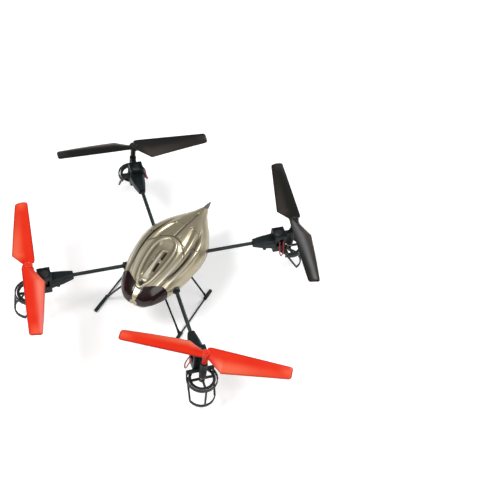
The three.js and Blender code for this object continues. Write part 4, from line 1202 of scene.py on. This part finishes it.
@dataclass
class Stage:
    """The camera, floor, world and lamps. The camera looks down on the nose from port.

    Attributes:
        aim: What the camera looks at, in metres above the ground.
        distance: How far the camera is from it, in metres.
        azimuth: How far round to port the camera stands, in degrees from the nose.
        floor_drop: How far the floor lies under the skids, in metres.
        glow: Distances over which the floor fades to white, and its glow there, seen by the camera.
        sky: Heights of the soft gradient's ends, and their lightness.
    """

    aim: Point = (0.0642, 0.0285, 0.0685)
    distance: float = 0.841
    azimuth: float = 18.77
    elevation: float = 49.8
    roll: float = 10.5
    lens: float = 72.0
    sensor: float = 36.0
    floor_half: float = 6.0
    floor_drop: float = 0.0002
    floor_grey: float = 0.93
    glow: tuple[Span, Span] = ((0.2, 0.75), (0.32, 1.0))
    sky: tuple[Span, Span] = ((0.35, 0.95), (0.08, 0.45))
    lamps: tuple[Lamp, ...] = (
        Lamp("key", (-0.55, -0.75, 1.25), 0.45, 14.0),
        Lamp("fill", (0.9, -0.2, 0.9), 0.8, 5.0),
        Lamp("rim", (0.3, 1.1, 0.8), 0.5, 6.0),
    )

    def camera(self) -> None:
        """Places the camera."""
        azimuth, elevation, roll = (math.radians(a) for a in (self.azimuth, self.elevation, self.roll))
        level = Vector((math.cos(azimuth), math.sin(azimuth), 0.0))
        ahead = Vector((math.sin(azimuth), -math.cos(azimuth), 0.0))
        back = ahead * math.cos(elevation) + Vector((0.0, 0.0, math.sin(elevation)))
        upright = back.cross(level)
        right = level * math.cos(roll) + upright * math.sin(roll)
        up = upright * math.cos(roll) - level * math.sin(roll)
        aim = Vector((self.aim[0], self.aim[1], self.aim[2] + GROUND))
        data = bpy.data.cameras.new("camera")
        data.lens = self.lens
        data.sensor_width = self.sensor
        camera = bpy.data.objects.new("camera", data)
        turn = Matrix((right, up, back)).transposed().to_4x4()
        camera.matrix_world = Matrix.Translation(aim + back * self.distance) @ turn
        bpy.context.scene.collection.objects.link(camera)
        bpy.context.scene.camera = camera

    def paper(self) -> bpy.types.Material:
        """Makes the floor's finish: pale paper that fades to white with distance for the camera."""
        material = bpy.data.materials.new("floor_paper")
        material.use_nodes = True
        tree = material.node_tree
        place = add_node(tree, "TexCoord", {}).outputs["Object"]
        reach = add_node(tree, "VectorMath", {0: place}, operation="LENGTH").outputs["Value"]
        (near, far), (dim, bright) = self.glow
        glow = add_node(tree, "MapRange", {
            "Value": reach, "From Min": near, "From Max": far, "To Min": dim, "To Max": bright,
        })
        is_camera = add_node(tree, "LightPath", {}).outputs["Is Camera Ray"]
        seen = multiply(tree, glow.outputs["Result"], is_camera)
        feed(tree, tree.nodes["Principled BSDF"], {
            "Base Color": (*[self.floor_grey] * 3, 1.0),
            "Roughness": 0.9,
            "Specular IOR Level": 0.1,
            "Emission Color": mix_colour(tree, seen, BLACK, WHITE),
            "Emission Strength": 1.0,
        })
        return material

    def floor(self) -> None:
        """Lays a large pale floor under the skids."""
        half = self.floor_half
        corners = [(-half, -half, GROUND), (half, -half, GROUND), (half, half, GROUND), (-half, half, GROUND)]
        mesh = bpy.data.meshes.new("floor")
        mesh.from_pydata(corners, [], [(0, 1, 2, 3)])
        mesh.materials.append(self.paper())
        ground = bpy.data.objects.new("floor", mesh)
        ground.location.z = -self.floor_drop
        bpy.context.scene.collection.objects.link(ground)

    def world(self) -> None:
        """Surrounds the scene with white for the camera and a soft gradient for the object."""
        world = bpy.data.worlds.new("studio")
        bpy.context.scene.world = world
        world.use_nodes = True
        tree = world.node_tree
        place = add_node(tree, "TexCoord", {}).outputs["Generated"]
        height = add_node(tree, "SeparateXYZ", {"Vector": place}).outputs["Z"]
        ramp = add_node(tree, "ValToRGB", {"Fac": height})
        for element, position, grey in zip(ramp.color_ramp.elements, *self.sky):
            element.position = position
            element.color = (grey, grey, grey, 1.0)
        is_camera = add_node(tree, "LightPath", {}).outputs["Is Camera Ray"]
        sky = mix_colour(tree, is_camera, ramp.outputs["Color"], WHITE)
        feed(tree, tree.nodes["Background"], {"Color": sky, "Strength": 1.0})

    def build(self) -> None:
        """Sets the whole stage."""
        self.camera()
        self.floor()
        self.world()
        for lamp in self.lamps:
            lamp.build()
        bpy.context.scene.view_settings.view_transform = "Standard"


def main() -> None:
    """Builds the stage, the canopy, the rotors, the arms and the rest in order."""
    logging.basicConfig(level=logging.INFO)
    Stage().build()
    for piece in Canopy().build():
        LOG.info("canopy piece %s", piece.name)
    rotors = (
        Rotor(Corner.REAR_PORT, Spin.CLOCKWISE, 129.2, Slot.BLACK_BLADE),
        Rotor(Corner.REAR_STARBOARD, Spin.ANTICLOCKWISE, 43.2, Slot.BLACK_BLADE),
        Rotor(Corner.FRONT_STARBOARD, Spin.CLOCKWISE, 129.7, Slot.RED_BLADE),
        Rotor(Corner.FRONT_PORT, Spin.ANTICLOCKWISE, 16.0, Slot.RED_BLADE),
    )
    for rotor in rotors:
        LOG.info("rotor %s", rotor.build().name)
    for corner in Corner:
        LOG.info("arm %s", Arm(corner).build().name)
    for node in DressedNodes().build():
        LOG.info("dressed %s", node.name)


if __name__ == "__main__":
    main()
